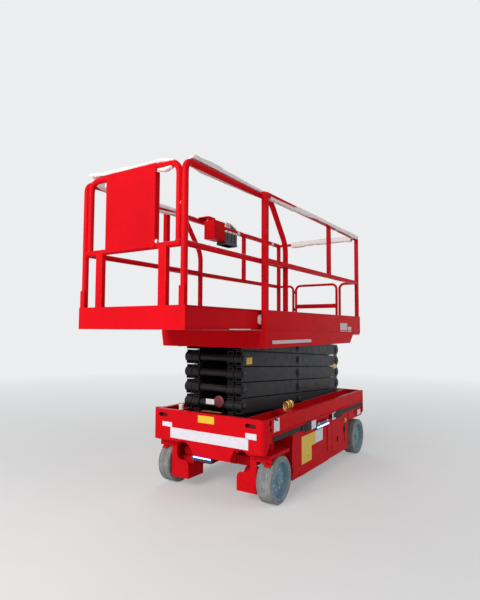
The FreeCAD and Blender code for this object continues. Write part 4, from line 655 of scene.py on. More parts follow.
def foam():
    """The protective foam on the top rails."""
    rail_low, rail_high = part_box("side_rail_left")
    half = 0.019
    middle = rail_high.y - 0.006 - half
    z = rail_high.z - half
    rear = rail_low.x + 0.030
    form = Form("foam_wrap_main")
    turned_under = ((0.0, -30, 128, 0.012, 0.0), (0.30, -32, 124, 0.010, 0.0), (0.55, -24, 112, 0.009, 0.0),
                    (0.72, 20, 168, 0.010, 0.0), (0.82, 98, 204, 0.012, 0.0), (1.0, 108, 206, 0.011, 0.0))
    foam_run(form, (rear, 0.640), (middle, z), half, turned_under, 3.0)
    plain = ((0.0, -32, 118, 0.011, 0.0), (0.5, -34, 104, 0.010, 0.0), (1.0, -32, 96, 0.009, 0.0))
    for ends, seed in (((rear, -0.664), 14.0), ((-0.612, -0.135), 21.0), ((0.285, 0.640), 27.0)):
        foam_run(form, ends, (-middle, z), half, plain, seed, side=-1.0)
    wrapped(form, "platform", "foam_main")
    bands = Form("foam_tape_main")
    for side, place in ((1, -1.36), (1, -0.86), (-1, -1.30), (-1, -0.50)):
        foam_band(bands, place, (middle * side, z), half)
    bands.done("platform", "tape", "white_foam", 60.0)

    low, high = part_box("foam_gate")
    form = Form("foam_wrap_gate")
    centre = ((low.x + high.x) / 2, (low.z + high.z) / 2)
    thick = ((0.0, -172, 172, 0.022, -0.010), (0.12, -170, 172, 0.026, -0.006), (0.35, -168, 170, 0.017, 0.0),
             (0.55, -172, 168, 0.024, 0.0), (0.8, -166, 172, 0.016, 0.0), (1.0, -168, 170, 0.020, -0.004))
    foam_run(form, (low.y + 0.002, high.y - 0.002), centre, 0.0155, thick, 33.0, along="y")
    wrapped(form, "platform", "foam_gate")

    low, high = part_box("foam_rollout")
    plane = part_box("rollout_side_rails")[1].y - ROLL_TUBE
    front_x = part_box("front_board")[0].x + 0.019
    rail_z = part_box("rollout_front_rail")[1].z - ROLL_TUBE
    half = ROLL_SKIN
    form = Form("foam_wrap_rollout")
    heavy = ((0.0, -100, 12, 0.022, 0.0), (0.35, -108, 14, 0.034, 0.002), (0.62, -114, 18, 0.042, 0.005),
             (0.85, -120, 20, 0.046, 0.008), (0.97, -108, 20, 0.040, 0.010), (1.0, -96, 14, 0.018, 0.010))
    foam_run(form, (low.x + 0.004, 1.590), (plane, rail_z), half, heavy, 41.0, round_rail=True)
    light = ((0.0, -108, 14, 0.007, 0.0), (0.55, -116, 16, 0.007, 0.0), (0.75, -134, 24, 0.026, 0.0),
             (0.92, -140, 26, 0.030, 0.004), (1.0, -118, 18, 0.016, 0.006))
    foam_run(form, (low.x + 0.004, 1.610), (-plane, rail_z), half, light, 47.0, side=-1.0, round_rail=True)
    flap = ((0.0, -170, -124, 0.014, -0.002), (0.3, -176, -128, 0.026, -0.012),
            (0.7, -174, -130, 0.024, -0.016), (1.0, -168, -132, 0.012, -0.004))
    foam_run(form, (0.640, 1.240), (-plane, rail_z), half, flap, 49.0, side=-1.0, round_rail=True)
    over = ((0.0, -60, 50, 0.026, 0.024), (0.10, -84, 54, 0.034, 0.014), (0.22, -96, 54, 0.026, 0.006),
            (0.60, -104, 52, 0.022, 0.003), (0.85, -108, 56, 0.028, 0.001), (0.95, -100, 52, 0.022, -0.004),
            (1.0, -80, 34, 0.010, -0.010))
    foam_run(form, (-0.440, 0.392), (front_x, rail_z), half, over, 51.0, along="y", round_rail=True)
    under = ((0.0, 146, 224, 0.014, 0.0), (0.5, 138, 230, 0.024, -0.004), (1.0, 146, 220, 0.013, 0.0))
    foam_run(form, (0.248, 0.372), (front_x, rail_z), half, under, 57.0, along="y", round_rail=True)
    wrapped(form, "rollout", "foam_rollout")
    form = Form("foam_scraps")
    rest = ((0.0, -150, 150, 0.004, 0.0), (0.4, -160, 160, 0.011, 0.002), (1.0, -140, 150, 0.004, 0.0))
    for y, z, wide in ((0.228, 1.992, 0.026), (-0.268, 2.452, 0.030)):
        foam_run(form, (y, y + wide), (front_x + 0.006, z), 0.008, rest, 61.0 + y, along="y", round_rail=True)
    scraps = form.done("rollout", "white_foam", "white_foam", 60.0)


def label(form, axis, plane, first, second):
    """A film on a wall that faces along x or y; first and second are its spans on the wall."""
    across = (plane, plane + FILM)
    if axis == "x":
        form.block(across, first, second)
    else:
        form.block(first, across, second)


def labels():
    """Blank films and plates where the machine carries its signs."""
    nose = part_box("front_panel")[1].x
    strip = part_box("side_strips")[1].y
    slope = strip - 0.0035
    films = (
        ("label_white_chassis", "chassis", "label_white", "red_paint", (
            ("x", nose, (-0.369, 0.433), (0.462, 0.551)), ("x", nose, (-0.463, -0.352), (0.553, 0.593)),
            ("x", nose, (0.407, 0.509), (0.548, 0.595)), ("y", CHASSIS_FACE, (0.543, 0.634), (0.588, 0.692)),
            ("y", slope, (-0.176, -0.070), (0.488, 0.566)),
            ("y", slope, (-0.678, -0.580), (0.494, 0.570)),
            ("y", CHASSIS_FACE, (-1.452, -1.345), (0.428, 0.486)))),
        ("label_yellow_chassis", "chassis", "label_yellow", "red_paint", (
            ("x", nose, (-0.066, 0.101), (0.625, 0.685)),)),
        ("label_yellow_door_left", "tray_left", "label_yellow", "red_paint", (
            ("y", DOOR_FACE, (-0.132, 0.080), (0.194, 0.446)),
            ("y", DOOR_FACE, (-0.222, -0.133), (0.330, 0.446)))),
        ("label_white_door_left", "tray_left", "label_white", "red_paint", (
            ("y", DOOR_FACE, (-0.396, -0.223), (0.334, 0.450)),
            ("y", DOOR_FACE, (-0.828, -0.762), (0.330, 0.404)))),
        ("label_yellow_arm_4", "outer_arm_4", "label_yellow", "black_paint", (
            ("y", ARM_FACE, (0.512, 0.602), (1.112, 1.168)),)),
        ("label_yellow_arm_3", "outer_arm_3", "label_yellow", "black_paint", (
            ("y", ARM_FACE, (-1.436, -1.330), (0.946, 1.000)),)),
        ("label_plate_toe", "platform", "label_grey", "red_paint", (
            ("y", TOE_FACE, (-1.105, -0.896), (1.388, 1.478)),
            ("y", TOE_FACE, (-1.236, -1.125), (1.384, 1.440)))))
    for name, body, material, slot, spans in films:
        form = Form(name)
        for span in spans:
            label(form, *span)
        form.done(body, material, slot)
    form = Form("label_mark_chassis")
    tilt = Matrix.Rotation(math.radians(-14), 3, "Y")
    form.block((0.566, 0.632), (0.5757, 0.5764), (0.676, 0.692), turn=tilt)
    for x in ((-0.066, 0.058), (-0.856, -0.696)):
        form.block(x, (strip - 0.006, strip + 0.002), (0.492, 0.572), 0.002)
    form.done("chassis", "black_rubber", "black_rubber")
    lean = math.atan2(0.020, 0.118)
    form = Form("label_strip_platform_left")
    form.block((-0.160, 0.600), (0.5399, 0.5411), (1.2885, 1.3260), turn=Matrix.Rotation(lean, 3, "X"))
    form.done("platform", "label_grey", "red_paint")


def lamps():
    """Lens, diodes and bracket of each line lamp."""
    low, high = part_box("line_lamp_front")
    form = Form("lamp_lens_front")
    form.block((high.x - 0.004, high.x + 0.0015), (low.y + 0.012, high.y - 0.012),
               (high.z - 0.014, high.z - 0.003), 0.0015)
    form.done("chassis", "glow", "lamp_blue")
    form = Form("lamp_diodes_front")
    for index in range(9):
        y = low.y + 0.024 + index * 0.0205
        form.block((high.x, high.x + 0.003), (y, y + 0.013), (high.z - 0.012, high.z - 0.005), 0.001)
    form.done("chassis", "diodes", "lamp_blue")
    form = Form("lamp_fins_front")
    for index in range(14):
        y = low.y + 0.010 + index * 0.0145
        form.block((low.x + 0.004, high.x - 0.022), (y, y + 0.003), (low.z - 0.006, low.z + 0.003), 0.0008)
    form.done("chassis", "lamp_blue", "lamp_blue")
    for side, hand in SIDES:
        low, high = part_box("line_lamp_" + hand)
        body = "tray_" + hand
        face = high.y if side > 0 else low.y
        form = Form("lamp_lens_" + hand)
        form.block((low.x + 0.014, high.x - 0.014), sorted((face - 0.003 * side, face + 0.0015 * side)),
                   (low.z + 0.006, low.z + 0.022), 0.0015)
        form.done(body, "glow", "lamp_blue")
        form = Form("lamp_diodes_" + hand)
        for index in range(12):
            x = low.x + 0.022 + index * 0.0232
            form.block((x, x + 0.016), sorted((face, face + 0.003 * side)),
                       (low.z + 0.009, low.z + 0.018), 0.001)
        form.done(body, "diodes", "lamp_blue")
        form = Form("lamp_bracket_" + hand)
        for x in (low.x + 0.04, high.x - 0.07):
            form.block((x, x + 0.03), sorted((face - 0.004 * side, face + 0.003 * side)),
                       (high.z - 0.018, high.z + 0.004), 0.001)
            form.bolt((x + 0.015, face + 0.003 * side, high.z - 0.007), (0, side, 0), 0.006)
        form.done(body, "zinc", "red_paint")


def pin_cap(form, x, y, z, side):
    """A keeper plate with two screws on a pin's end."""
    form.turned((x, y * side, z), (0, side, 0), ((0, 0.0265), (0.003, 0.0265), (0.0042, 0.024)), 28)
    for angle in (40, 220):
        turn = math.radians(angle)
        spot = (x + math.cos(turn) * 0.0145, (y + 0.0042) * side, z + math.sin(turn) * 0.0145)
        form.bolt(spot, (0, side, 0), 0.0062, False)


def scissor():
    """Pin caps and weld beads of the arm stack, and the cylinders' gland rings."""
    for stage in range(1, STAGES + 1):
        inner_arm = "inner_arm_%d" % stage
        outer_arm = "outer_arm_%d" % stage
        low_z = PIN_LOW + (stage - 1) * STAGE
        middle_z = low_z + STAGE / 2
        high_z = low_z + STAGE
        caps = Form("pin_caps_inner_%d" % stage)
        for side in BOTH:
            pin_cap(caps, MIDDLE_X, INNER_CAP, middle_z, side)
            if stage > 1:
                pin_cap(caps, PIN_FRONT, INNER_CAP, low_z, side)
        caps.done(inner_arm, "pin_cap", "black_paint")
        beads = Form("welds_inner_%d" % stage)
        for side in BOTH:
            for x, z in ((PIN_FRONT, low_z), (MIDDLE_X, middle_z), (PIN_REAR, high_z)):
                beads.ring((x, 0.1505 * side, z), (0, 1, 0), BOSS, 0.0030, 40, 6)
            beads.ring((PIN_FRONT, 0.150 * side, low_z), (0, 1, 0), 0.0315, 0.0040, 36, 6)
        beads.done(inner_arm, "black_paint", "black_paint")
        beads = Form("welds_outer_%d" % stage)
        for side in BOTH:
            for x, z in ((PIN_FRONT, high_z), (MIDDLE_X, middle_z), (PIN_REAR, low_z)):
                beads.ring((x, ARM_FACE * side, z), (0, 1, 0), BOSS, 0.0030, 40, 6)
        beads.done(outer_arm, "black_paint", "black_paint")
        if stage > 1:
            caps = Form("pin_caps_outer_%d" % stage)
            for side in BOTH:
                pin_cap(caps, PIN_REAR, OUTER_CAP, low_z, side)
            caps.done(outer_arm, "pin_cap", "black_paint")
    for name, stages_up in (("lower", 0.5), ("upper", 2.5)):
        barrel_low, barrel_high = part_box("lift_barrel_" + name)
        rod_low, rod_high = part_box("lift_rod_" + name)
        foot_x = barrel_low.x + 0.034
        foot_z = PIN_LOW + stages_up * STAGE + FOOT_ALONG * STAGE / ARM_LENGTH
        way = Vector((rod_high.x - 0.030 - foot_x, 0, rod_low.z + 0.030 - foot_z)).normalized()
        gland = Vector((foot_x, 0, foot_z)) + way * ((barrel_high.x - foot_x) / way.x - 0.003)
        form = Form("gland_ring_" + name)
        form.ring(gland - way * 0.012, way, 0.0545, 0.0030, 48, 8)
        form.ring(gland - way * 0.030, way, 0.0545, 0.0022, 48, 8)
        form.done("lift_barrel_" + name, "black_paint", "black_paint")


def wheel_pieces():
    """Nuts, hub caps and moulded rings on the wheels."""
    for side, hand in SIDES:
        way = Vector((0, side, 0))
        for corner in ("front_" + hand, "rear_" + hand):
            body = "wheel_" + corner
            low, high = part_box("rim_" + corner)
            out = high.y if side > 0 else low.y
            centre = Vector(((low.x + high.x) / 2, out, (low.z + high.z) / 2))
            cap = Form("hub_cap_" + corner)
            cap.turned(centre - way * 0.018, way,
                       ((0, 0.041), (0.005, 0.041), (0.010, 0.035), (0.011, 0.013), (0.016, 0.011)), 32)
            cap.ring(centre - way * 0.031, way, 0.060, 0.0030)
            cap.done(body, "grey_rim", "grey_rim")
            nuts = Form("wheel_nuts_" + corner)
            for index in range(8):
                angle = 2 * math.pi * (index + 0.5) / 8
                spoke = Vector((math.cos(angle), 0, math.sin(angle)))
                nuts.bolt(centre - way * 0.0335 + spoke * 0.080, way)
            nuts.done(body, "zinc", "grey_rim")
            low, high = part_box("tyre_" + corner)
            face = high.y if side > 0 else low.y
            rings = Form("tyre_rings_" + corner)
            for radius, thick in ((0.1535, 0.0022), (0.1700, 0.0016)):
                rings.ring((centre.x, face - 0.0006 * side, centre.z), way, radius, thick, 72, 8)
            rings.done(body, "grey_tyre", "grey_tyre")


def tread(name, body, low, high, top):
    """Raised lozenges of tread plate between two corners."""
    form = Form(name)
    gap = 0.050
    foot = Vector((0, 0, -0.0004))
    crest = Vector((0, 0, 0.0014))
    for row in range(int((high[0] - low[0]) / gap)):
        for column in range(int((high[1] - low[1]) / gap)):
            turn = math.radians(45 if (row + column) % 2 else -45)
            middle = Vector((low[0] + gap * (row + 0.5), low[1] + gap * (column + 0.5), top))
            ahead = Vector((math.cos(turn), math.sin(turn), 0))
            wide = Vector((-ahead.y, ahead.x, 0))
            points = [middle + foot + ahead * 0.017, middle + foot + wide * 0.0045,
                      middle + foot - ahead * 0.017, middle + foot - wide * 0.0045,
                      middle + ahead * 0.009 + crest, middle - ahead * 0.009 + crest]
            verts = [form.mesh.verts.new(point) for point in points]
            for face in ((0, 1, 5, 4), (2, 3, 4, 5), (3, 0, 4), (1, 2, 5), (0, 3, 2, 1)):
                form.mesh.faces.new([verts[index] for index in face])
    form.done(body, "deck_steel", "deck_steel", 0)


def decks():
    """Tread of both decks, bolts and lips of the toe boards, and the roll-out's guides."""
    low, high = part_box("platform_deck")
    ext_low, ext_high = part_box("rollout_deck")
    swept = ext_low.x - ROLL_TRAVEL
    tread("tread_main", "platform", (low.x + 0.03, -0.500), (swept - 0.010, 0.500), high.z)
    top = ext_low.z + 0.012
    tread("tread_rollout", "rollout", (ext_low.x + 0.02, -0.430), (ext_high.x - 0.07, 0.430), top)
    form = Form("bolts_platform")
    form.bolts([(x, TOE_FACE, 1.540) for x in (-1.38, -0.34, 0.64)], "y", 0.006)
    form.bolts([(x, 0.548, z) for z in (1.985, 2.030) for x in (-1.502, -0.638)], "y", 0.006)
    form.red("platform")
    form = Form("toe_edges")
    form.blocks((-1.536, 0.716), (0.5512, 0.5562), (1.3965, 1.4040), 0.0012)
    form.red("platform")
    form = Form("gate_plate")
    form.block((-1.4985, -1.4915), (-0.280, 0.268), (1.674, 1.726), 0.001)
    form.red("gate")
    # Black bolt heads on the platform's front: their black is painted shade of the dark holes they sit in.
    form = Form("hole_shade_bolts_platform_front")
    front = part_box("platform_frame")[1].x
    form.bolts([(front, y, z) for y, z in ((0.452, 1.352), (0.486, 1.306))], AHEAD, 0.0060, False)
    form.done("platform", "black_rubber", "black_paint")
    form = Form("bolts_rollout")
    form.bolts([(x, 0.480, 1.490) for x in (0.34, 0.90, 1.46)], "y", 0.0065)
    form.bolts([(ext_high.x - 0.004, 0.300, 1.590)], AHEAD, 0.0060)
    form.red("rollout")
    form = Form("glide_strips")
    form.blocks((0.880, 1.165), (0.5018, 0.5034), (1.4056, 1.4120))
    form.done("rollout", "nylon", "white_foam")
    form = Form("glide_rollers")
    x, z = 0.717, 1.4880
    for side in BOTH:
        form.turned((x, 0.4885 * side, z), (0, side, 0),
                    ((0, 0.038), (0.002, 0.041), (0.0135, 0.041), (0.0155, 0.038)), 40)
        form.turned((x, 0.4860 * side, z), (0, side, 0), ((0, 0.012), (0.0220, 0.012), (0.0235, 0.010)), 20)
    form.done("platform", "nylon", "white_foam")


def bent(corners, radius, steps=8):
    """Points of a bar that runs through corners with rounded bends."""
    corners = [Vector(corner) for corner in corners]
    points = [corners[0]]
    for before, corner, after in zip(corners, corners[1:], corners[2:]):
        start = corner + (before - corner).normalized() * radius
        end = corner + (after - corner).normalized() * radius
        for step in range(steps + 1):
            share = step / steps
            points.append(start.lerp(corner, share).lerp(corner.lerp(end, share), share))
    points.append(corners[-1])
    return points


def rails():
    """Bent tubes of the roll-out rails, with their feet, clamps and the main rails' pins and end caps."""
    low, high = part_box("rollout_side_rails")
    plane = high.y - ROLL_TUBE
    hoop, nose = low.x + ROLL_TUBE + 0.001, 1.655
    toe, middle, top = 1.565, 1.966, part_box("rollout_front_rail")[1].z - ROLL_TUBE
    knee = top - 0.348
    form = Form("rollout_side_tubes")
    for side in BOTH:
        y = plane * side
        corners = ((hoop, y, toe), (hoop, y, knee), (hoop + 0.279, y, top), (nose, y, top), (nose, y, toe))
        form.bar(bent(corners, 0.075), ROLL_SKIN, 20)
        form.bar(((hoop, y, middle), (nose, y, middle)), ROLL_SKIN - 0.002, 20)
        for x in (hoop, nose):
            form.ring((x, y, toe + 0.001), UP, ROLL_SKIN - 0.001, 0.0026, 32, 6)
    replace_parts(form.done("rollout", "red_paint", "red_paint", 50.0), "rollout_side_rails")
    form = Form("rollout_front_tubes")
    x = nose - 0.001
    half = 0.4315
    radius = 0.0225
    corners = ((x, -half, middle), (x, -half, top), (x, half, top), (x, half, middle))
    form.bar(bent(corners, 0.085), radius, 20)
    reach = plane - ROLL_SKIN - 0.0005
    form.bar(((x, -reach, middle), (x, reach, middle)), 0.0215, 20)
    for side in BOTH:
        form.block((x - 0.010, x + 0.010), pair(0.440, reach, side), (2.214, 2.246), 0.002)
        form.block((x - 0.012, x + 0.022), pair(0.272, 0.342, side), (toe - 0.060, middle), 0.004)
        form.ring((x, half * side, middle + 0.020), UP, radius, 0.0030, 32, 6)
    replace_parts(form.done("rollout", "red_paint", "red_paint", 50.0), "rollout_front_rail")
    form = Form("clamp_bolts")
    form.bolts([(x + 0.010, 0.4480, 2.230)], AHEAD, 0.0055)
    form.done("rollout", "zinc", "red_paint")
    form = Form("rail_pins")
    for side in BOTH:
        for x, z in ((-1.502, 1.700), (-0.638, 2.060), (0.700, 1.900)):
            form.turned((x, 0.5485 * side, z), (0, side, 0), ((0, 0.009), (0.003, 0.009), (0.005, 0.006)), 20)
    form.red("platform")
    form = Form("rail_caps")
    for z in (1.966, 2.508):
        form.blocks((-1.5240, -1.5205), (0.5115, 0.5465), (z - 0.0175, z + 0.0175), 0.0012)
    form.done("platform", "black_rubber", "black_rubber")


def board():
    """Folded rim and fixings of the blank board."""
    low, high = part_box("front_board")
    form = Form("board_rim")
    inset = 0.003
    corner = 0.012
    points = []
    for y, z, start in ((high.y, high.z, 0), (low.y, high.z, 90), (low.y, low.z, 180), (high.y, low.z, 270)):
        way_y = -1 if y > 0 else 1
        way_z = -1 if z == high.z else 1
        for step in range(6):
            turn = math.radians(start + 90 * step / 5)
            points.append((high.x - 0.003, y + way_y * (inset + corner) + math.cos(turn) * corner,
                           z + way_z * (inset + corner) + math.sin(turn) * corner))
    form.bar(points, 0.0034, 8, closed=True)
    form.done("rollout", "red_board", "red_paint", 60.0)
    form = Form("board_bolts")
    form.bolts([(high.x, 0.185, z) for z in (2.505, 1.972)], AHEAD, 0.005)
    form.done("rollout", "red_board", "red_paint")


def console():
    """Cover, stripes, stick, stop button and switches of the control console."""
    low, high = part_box("control_box")
    top = high.z
    middle = (high.y + low.y) / 2
    lean = math.atan2(0.040, 0.110)

    def across(grow):
        return (low.y - grow, high.y + grow)

    form = Form("console_cover")
    form.block((0.010, high.x + 0.001), across(0.003), (top - 0.050, top + 0.002), 0.004)
    form.block((low.x + 0.012, low.x + 0.134), across(0.003), (top - 0.0275, top - 0.0115), 0.003,
               turn=Matrix.Rotation(-lean, 3, "Y"))
    form.block((low.x, high.x + 0.001), across(0.003), (top - 0.100, top - 0.080), 0.002)
    form.done("platform", "nylon", "control_plastic")
    form = Form("console_stripes")
    form.block((low.x, high.x + 0.001), across(0.003), (top - 0.080, top - 0.050), 0.002)
    for x in (0.030, 0.062):
        form.block((x, x + 0.014), across(0.0042), (top - 0.046, top + 0.0032), 0.002)
    form.done("platform", "red_paint", "control_plastic")
    form = Form("console_base")
    form.block((low.x - 0.002, high.x + 0.001), across(0.004), (low.z, low.z + 0.030), 0.008)
    for y in (low.y - 0.005, high.y + 0.001):
        for x in (-0.085, -0.030, 0.050):
            form.block((x, x + 0.010), (y, y + 0.004), (low.z + 0.030, top - 0.075), 0.0015)
    form.done("platform", "control_plastic", "control_plastic")
    foot = Vector((-0.050, middle, top - 0.017))
    up = Vector((-math.sin(lean), 0, math.cos(lean)))
    boot = ((0, 0.026), (0.004, 0.026), (0.008, 0.020), (0.011, 0.022), (0.015, 0.015), (0.018, 0.016),
            (0.022, 0.009))
    grip = ((0, 0.009), (0.010, 0.008), (0.016, 0.010), (0.026, 0.0105), (0.030, 0.006))
    form = Form("console_stick")
    form.turned(foot - up * 0.006, up, boot, 28)
    form.turned(foot + up * 0.014, up, grip, 20)
    form.done("platform", "black_rubber", "control_plastic")
    collar = ((0, 0.016), (0.004, 0.016), (0.005, 0.009), (0.010, 0.009))
    mushroom = ((0, 0.013), (0.002, 0.0145), (0.006, 0.0145), (0.009, 0.010))
    x = 0.046
    form = Form("console_stop")
    form.turned((x, middle - 0.028, top + 0.001), UP, collar, 28)
    form.done("platform", "label_yellow", "control_plastic")
    form = Form("console_button")
    form.turned((x, middle - 0.028, top + 0.010), UP, mushroom, 28)
    form.turned((x, middle + 0.030, top + 0.001), UP, ((0, 0.009), (0.003, 0.009), (0.005, 0.007)), 20)
    form.done("platform", "red_paint", "control_plastic")
    form = Form("holder_bolts")
    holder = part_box("control_holder")[1]
    for x in (0.115, 0.185):
        form.bolt((x, -0.500, holder.z), UP, 0.006)
    for y in (-0.345, -0.390):
        form.bolt((holder.x, y, top - 0.070), AHEAD, 0.006)
    form.red("platform")


def batteries():
    """Four batteries in place of the left tray's plain block."""
    low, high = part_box("battery_block")
    body = "tray_left"
    cases = Form("battery_cases")
    lids = Form("battery_caps")
    posts = Form("battery_posts")
    links = Form("battery_links")
    count = 4
    pitch = (high.x - low.x) / count
    top = high.z - 0.030
    middle = (low.y + high.y) / 2
    cap = ((0, 0.021), (0.008, 0.021), (0.011, 0.016))
    post = ((0, 0.012), (0.004, 0.012), (0.005, 0.008), (0.018, 0.007))
    for index in range(count):
        rear, front = low.x + pitch * index + 0.006, low.x + pitch * (index + 1) - 0.006
        cases.block((rear, front), (low.y + 0.004, high.y - 0.004), (low.z, top - 0.030), 0.008)
        cases.block((rear - 0.003, front + 0.003), (low.y + 0.001, high.y - 0.001), (top - 0.032, top), 0.005)
        for rib in range(6):
            x = rear + 0.026 + rib * 0.046
            cases.block((x, x + 0.006), (high.y - 0.006, high.y - 0.001), (low.z + 0.010, top - 0.036), 0.002)
        for cell in range(3):
            x = rear + (front - rear) * (cell + 0.5) / 3
            lids.turned((x, middle, top - 0.001), UP, cap, 12)
        for share, y in ((0.14, low.y + 0.034), (0.86, high.y - 0.034)):
            posts.turned((rear + (front - rear) * share, y, top - 0.001), UP, post, 16)
        if index < count - 1:
            start = Vector((rear + (front - rear) * 0.86, high.y - 0.034, top + 0.012))
            end = Vector((rear + pitch + (front - rear) * 0.14, low.y + 0.034, top + 0.012))
            line = []
            for step in range(13):
                point = start.lerp(end, step / 12)
                point.z += 0.010 * math.sin(math.pi * step / 12)
                line.append(point)
            links.bar(line, 0.005, 10)
    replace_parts(cases.done(body, "battery_case", "battery_case"), "battery_block")
    lids.done(body, "red_paint", "battery_case")
    posts.done(body, "zinc", "battery_case")
    links.done(body, "black_rubber", "battery_case")


def hydraulics():
    """Tank, pump motor and valves in place of the right tray's plain block."""
    low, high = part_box("hydraulic_block")
    body = "tray_right"
    y = (low.y + high.y) / 2
    tank = Form("hydraulic_tank")
    tank.block((low.x, low.x + 0.420), (low.y, high.y), (low.z, high.z - 0.034), 0.016, segments=3)
    tank.block((low.x + 0.014, low.x + 0.406), (low.y + 0.014, high.y - 0.014),
               (high.z - 0.036, high.z - 0.026), 0.003)
    tank.block((-0.180, high.x), (low.y, high.y), (low.z, low.z + 0.190), 0.010)
    tank.block((-0.170, high.x - 0.010), (low.y + 0.010, high.y - 0.010),
               (low.z + 0.188, low.z + 0.204), 0.004)
    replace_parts(tank.done(body, "black_paint", "battery_case"), "hydraulic_block")
    motor = Form("pump_motor")
    motor.turned((low.x + 0.440, y, low.z + 0.110), AHEAD,
                 ((0, 0.052), (0.004, 0.072), (0.070, 0.072), (0.072, 0.060), (0.150, 0.060), (0.152, 0.072),
                  (0.300, 0.072), (0.306, 0.060)), 36)
    for x in (low.x + 0.470, low.x + 0.700):
        motor.block((x, x + 0.030), (y - 0.070, y + 0.070), (low.z, low.z + 0.060), 0.004)
    motor.done(body, "battery_case", "battery_case")
    valves = Form("valve_manifold")
    valve = ((0, 0.016), (0.022, 0.016), (0.024, 0.009), (0.032, 0.008))
    valves.block((low.x + 0.470, low.x + 0.640), (y - 0.050, y + 0.050),
                 (low.z + 0.180, low.z + 0.240), 0.003)
    for index in range(3):
        x = low.x + 0.498 + index * 0.055
        valves.turned((x, y, low.z + 0.238), UP, valve, 16)
    valves.block((low.x + 0.500, low.x + 0.520), (y - 0.020, y + 0.020),
                 (low.z + 0.170, low.z + 0.182), 0.002)
    valves.done(body, "zinc", "battery_case")
    filler = Form("filler_cap")
    filler.turned((low.x + 0.120, y, high.z - 0.027), UP,
                  ((0, 0.030), (0.010, 0.030), (0.012, 0.024), (0.022, 0.023), (0.025, 0.019)), 20)
    filler.done(body, "black_rubber", "battery_case")


def tray_doors():
    """Latch, knob and fixings of the tray doors."""
    plate = 0.560
    for side, hand in SIDES:
        body = "tray_" + hand
        knob = Form("door_knob_" + hand)
        knob.turned((-0.976, 0.5595 * side, 0.430), (0, side, 0),
                    ((0, 0.024), (0.003, 0.024), (0.004, 0.012), (0.008, 0.012), (0.009, 0.017),
                     (0.016, 0.017), (0.018, 0.013)), 24)
        knob.done(body, "brass", "bright_steel")
        latch = Form("door_latch_" + hand)
        latch.block((-0.985, -0.945), pair(0.5590, 0.5640, side), (0.300, 0.372), 0.004)
        latch.block((-0.975, -0.955), pair(0.5630, 0.5700, side), (0.312, 0.360), 0.003)
        latch.done(body, "black_rubber", "black_rubber")
        screws = Form("door_screws_" + hand)
        for x, z, plane in ((-1.040, 0.170, plate), (-1.040, 0.470, plate), (-0.660, 0.470, plate),
                            (0.250, 0.180, plate), (0.250, 0.470, plate), (0.110, 0.470, DOOR_FACE),
                            (-0.440, 0.250, DOOR_FACE), (-0.060, 0.250, DOOR_FACE)):
            screws.bolt((x, plane * side, z), (0, side, 0), 0.0065)
        screws.red(body)


def chassis_pieces():
    """Bolts, lips, slot pockets and small fittings of the chassis."""
    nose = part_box("front_panel")[1].x
    tail = -1.550
    form = Form("bolts_chassis")
    form.bolts([(x, CHASSIS_FACE, 0.590) for x in (-1.46, -0.90, -0.30, 0.25, 0.60)], "y", 0.007)
    form.bolts([(x, CHASSIS_FACE, z) for x in (0.700, -1.515) for z in (0.640, 0.600)], "y", 0.0085)
    corners = ((0.500, 0.470), (0.500, 0.440), (0.140, 0.440), (0.330, 0.440))
    form.bolts([(nose, y, z) for y, z in corners], AHEAD, 0.0075)
    form.bolts([(tail, y, z) for y in (0.300, 0.520) for z in (0.500, 0.640)], (-1, 0, 0), 0.008)
    for y in (-0.183, 0.183):
        for z in (0.460, 0.640):
            form.turned((tail, y, z), (-1, 0, 0), ((0, 0.026), (0.006, 0.026)), 20)
    form.red("chassis")
    form = Form("side_lips")
    form.blocks((-1.530, 0.712), (0.5740, 0.5815), (0.5640, 0.5720), 0.0025)
    form.red("chassis")
    # Pockets at the back of the front slots, in maroon: their dark colour is painted shade inside the slots.
    form = Form("slot_pockets")
    form.blocks((nose - 0.040, nose - 0.034), (0.385, 0.525), (0.630, 0.694), 0.001)
    form.blocks((nose - 0.040, nose - 0.008), (0.385, 0.525), (0.630, 0.634), 0.001)
    form.done("chassis", "maroon", "red_paint")
    form = Form("ladder_grips")
    for step in range(4):
        for index in range(14):
            form.turned((-1.663, -0.150 + index * 0.022, 0.300 + 0.290 * step), (0, 1, 0),
                        ((0, 0.0152), (0.003, 0.0172), (0.009, 0.0172), (0.012, 0.0152)), 16)
    form.red("chassis")
    form = Form("front_fillers")
    form.turned((0.735, -0.300, 0.7010), UP,
                ((0, 0.021), (0.030, 0.021), (0.034, 0.023), (0.044, 0.023), (0.047, 0.019)), 28)
    form.done("chassis", "nylon", "white_foam")


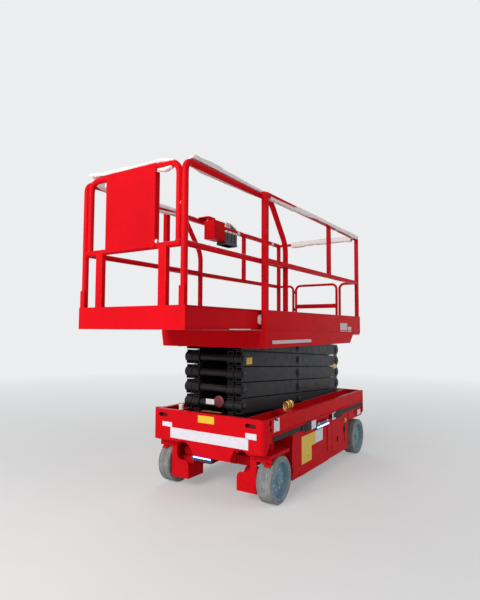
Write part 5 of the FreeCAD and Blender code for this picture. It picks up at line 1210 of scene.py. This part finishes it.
def brass_loops():
    """A pipe set with bent loops on a bracket behind the left side rail."""
    form = Form("loop_bracket")
    form.block((0.135, 0.285), (0.440, 0.560), (0.6905, 0.6950), 0.0015)
    form.block((0.150, 0.270), (0.4560, 0.4620), (0.6940, 0.7250), 0.0015)
    for x in (0.155, 0.265):
        form.bolt((x, 0.545, 0.6950), UP, 0.007)
    form.red("chassis")
    form = Form("brass_loops")
    for x, radius, lean in ((0.168, 0.036, 0.10), (0.196, 0.040, -0.05), (0.224, 0.037, 0.12),
                            (0.252, 0.033, -0.08)):
        points = []
        for step in range(25):
            turn = math.radians(-75 + 330 * step / 24)
            points.append((x + lean * radius * math.sin(turn), 0.485 + math.cos(turn) * radius * 0.8,
                           0.742 + math.sin(turn) * radius))
        form.bar(points, 0.0048, 10)
    form.bar([(0.150, 0.470, 0.704), (0.175, 0.474, 0.702), (0.210, 0.478, 0.702), (0.245, 0.474, 0.702),
              (0.272, 0.470, 0.704)], 0.0055, 10)
    form.block((0.150, 0.270), (0.4620, 0.4900), (0.6950, 0.7120), 0.002)
    for x in (0.160, 0.210, 0.260):
        form.bolt((x, 0.476, 0.712), UP, 0.008)
    form.done("chassis", "brass", "bright_steel")


def stack_front():
    """Round cover and blank film on the lower cross tubes at the front, and a small plate before them."""
    form = Form("stack_disc")
    form.turned((0.676, 0.072, 0.796), AHEAD,
                ((0, 0.046), (0.004, 0.050), (0.012, 0.050), (0.015, 0.044), (0.016, 0.014),
                 (0.020, 0.012)), 40)
    form.done("inner_arm_2", "maroon", "red_paint")
    form = Form("label_white_stack")
    form.block((0.6795, 0.6815), (-0.071, 0.018), (0.764, 0.808), 0.0006)
    form.done("inner_arm_2", "label_white", "black_paint")
    form = Form("front_plate_tan")
    form.block((0.664, 0.706), (-0.105, 0.100), (0.7015, 0.7050), 0.001)
    form.done("chassis", "tan", "red_paint")


def knuckle_pieces():
    """Fixings on the front yokes."""
    nose = 0.686
    for side, hand in SIDES:
        form = Form("knuckle_bolts_" + hand)
        for y, z in ((0.420, 0.370), (0.420, 0.300), (0.420, 0.130), (0.285, 0.130), (0.285, 0.220)):
            form.bolt((nose, y * side, z), AHEAD, 0.008)
        form.bolt((0.400, 0.4645 * side, 0.4080), UP, 0.012)
        form.red("knuckle_" + hand)


camera()
studio()
finishes()
slots = {part["node"]: part["material_slot"] for part in frame["record"]["subparts"]}
for name, obj in nodes.items():
    obj.data.materials.clear()
    obj.data.materials.append(materials[slots[name]])
foam()
labels()
wheel_pieces()
decks()
rails()
board()
console()
lamps()
scissor()
batteries()
hydraulics()
tray_doors()
chassis_pieces()
brass_loops()
stack_front()
knuckle_pieces()
bpy.context.scene.view_settings.view_transform = "Standard"
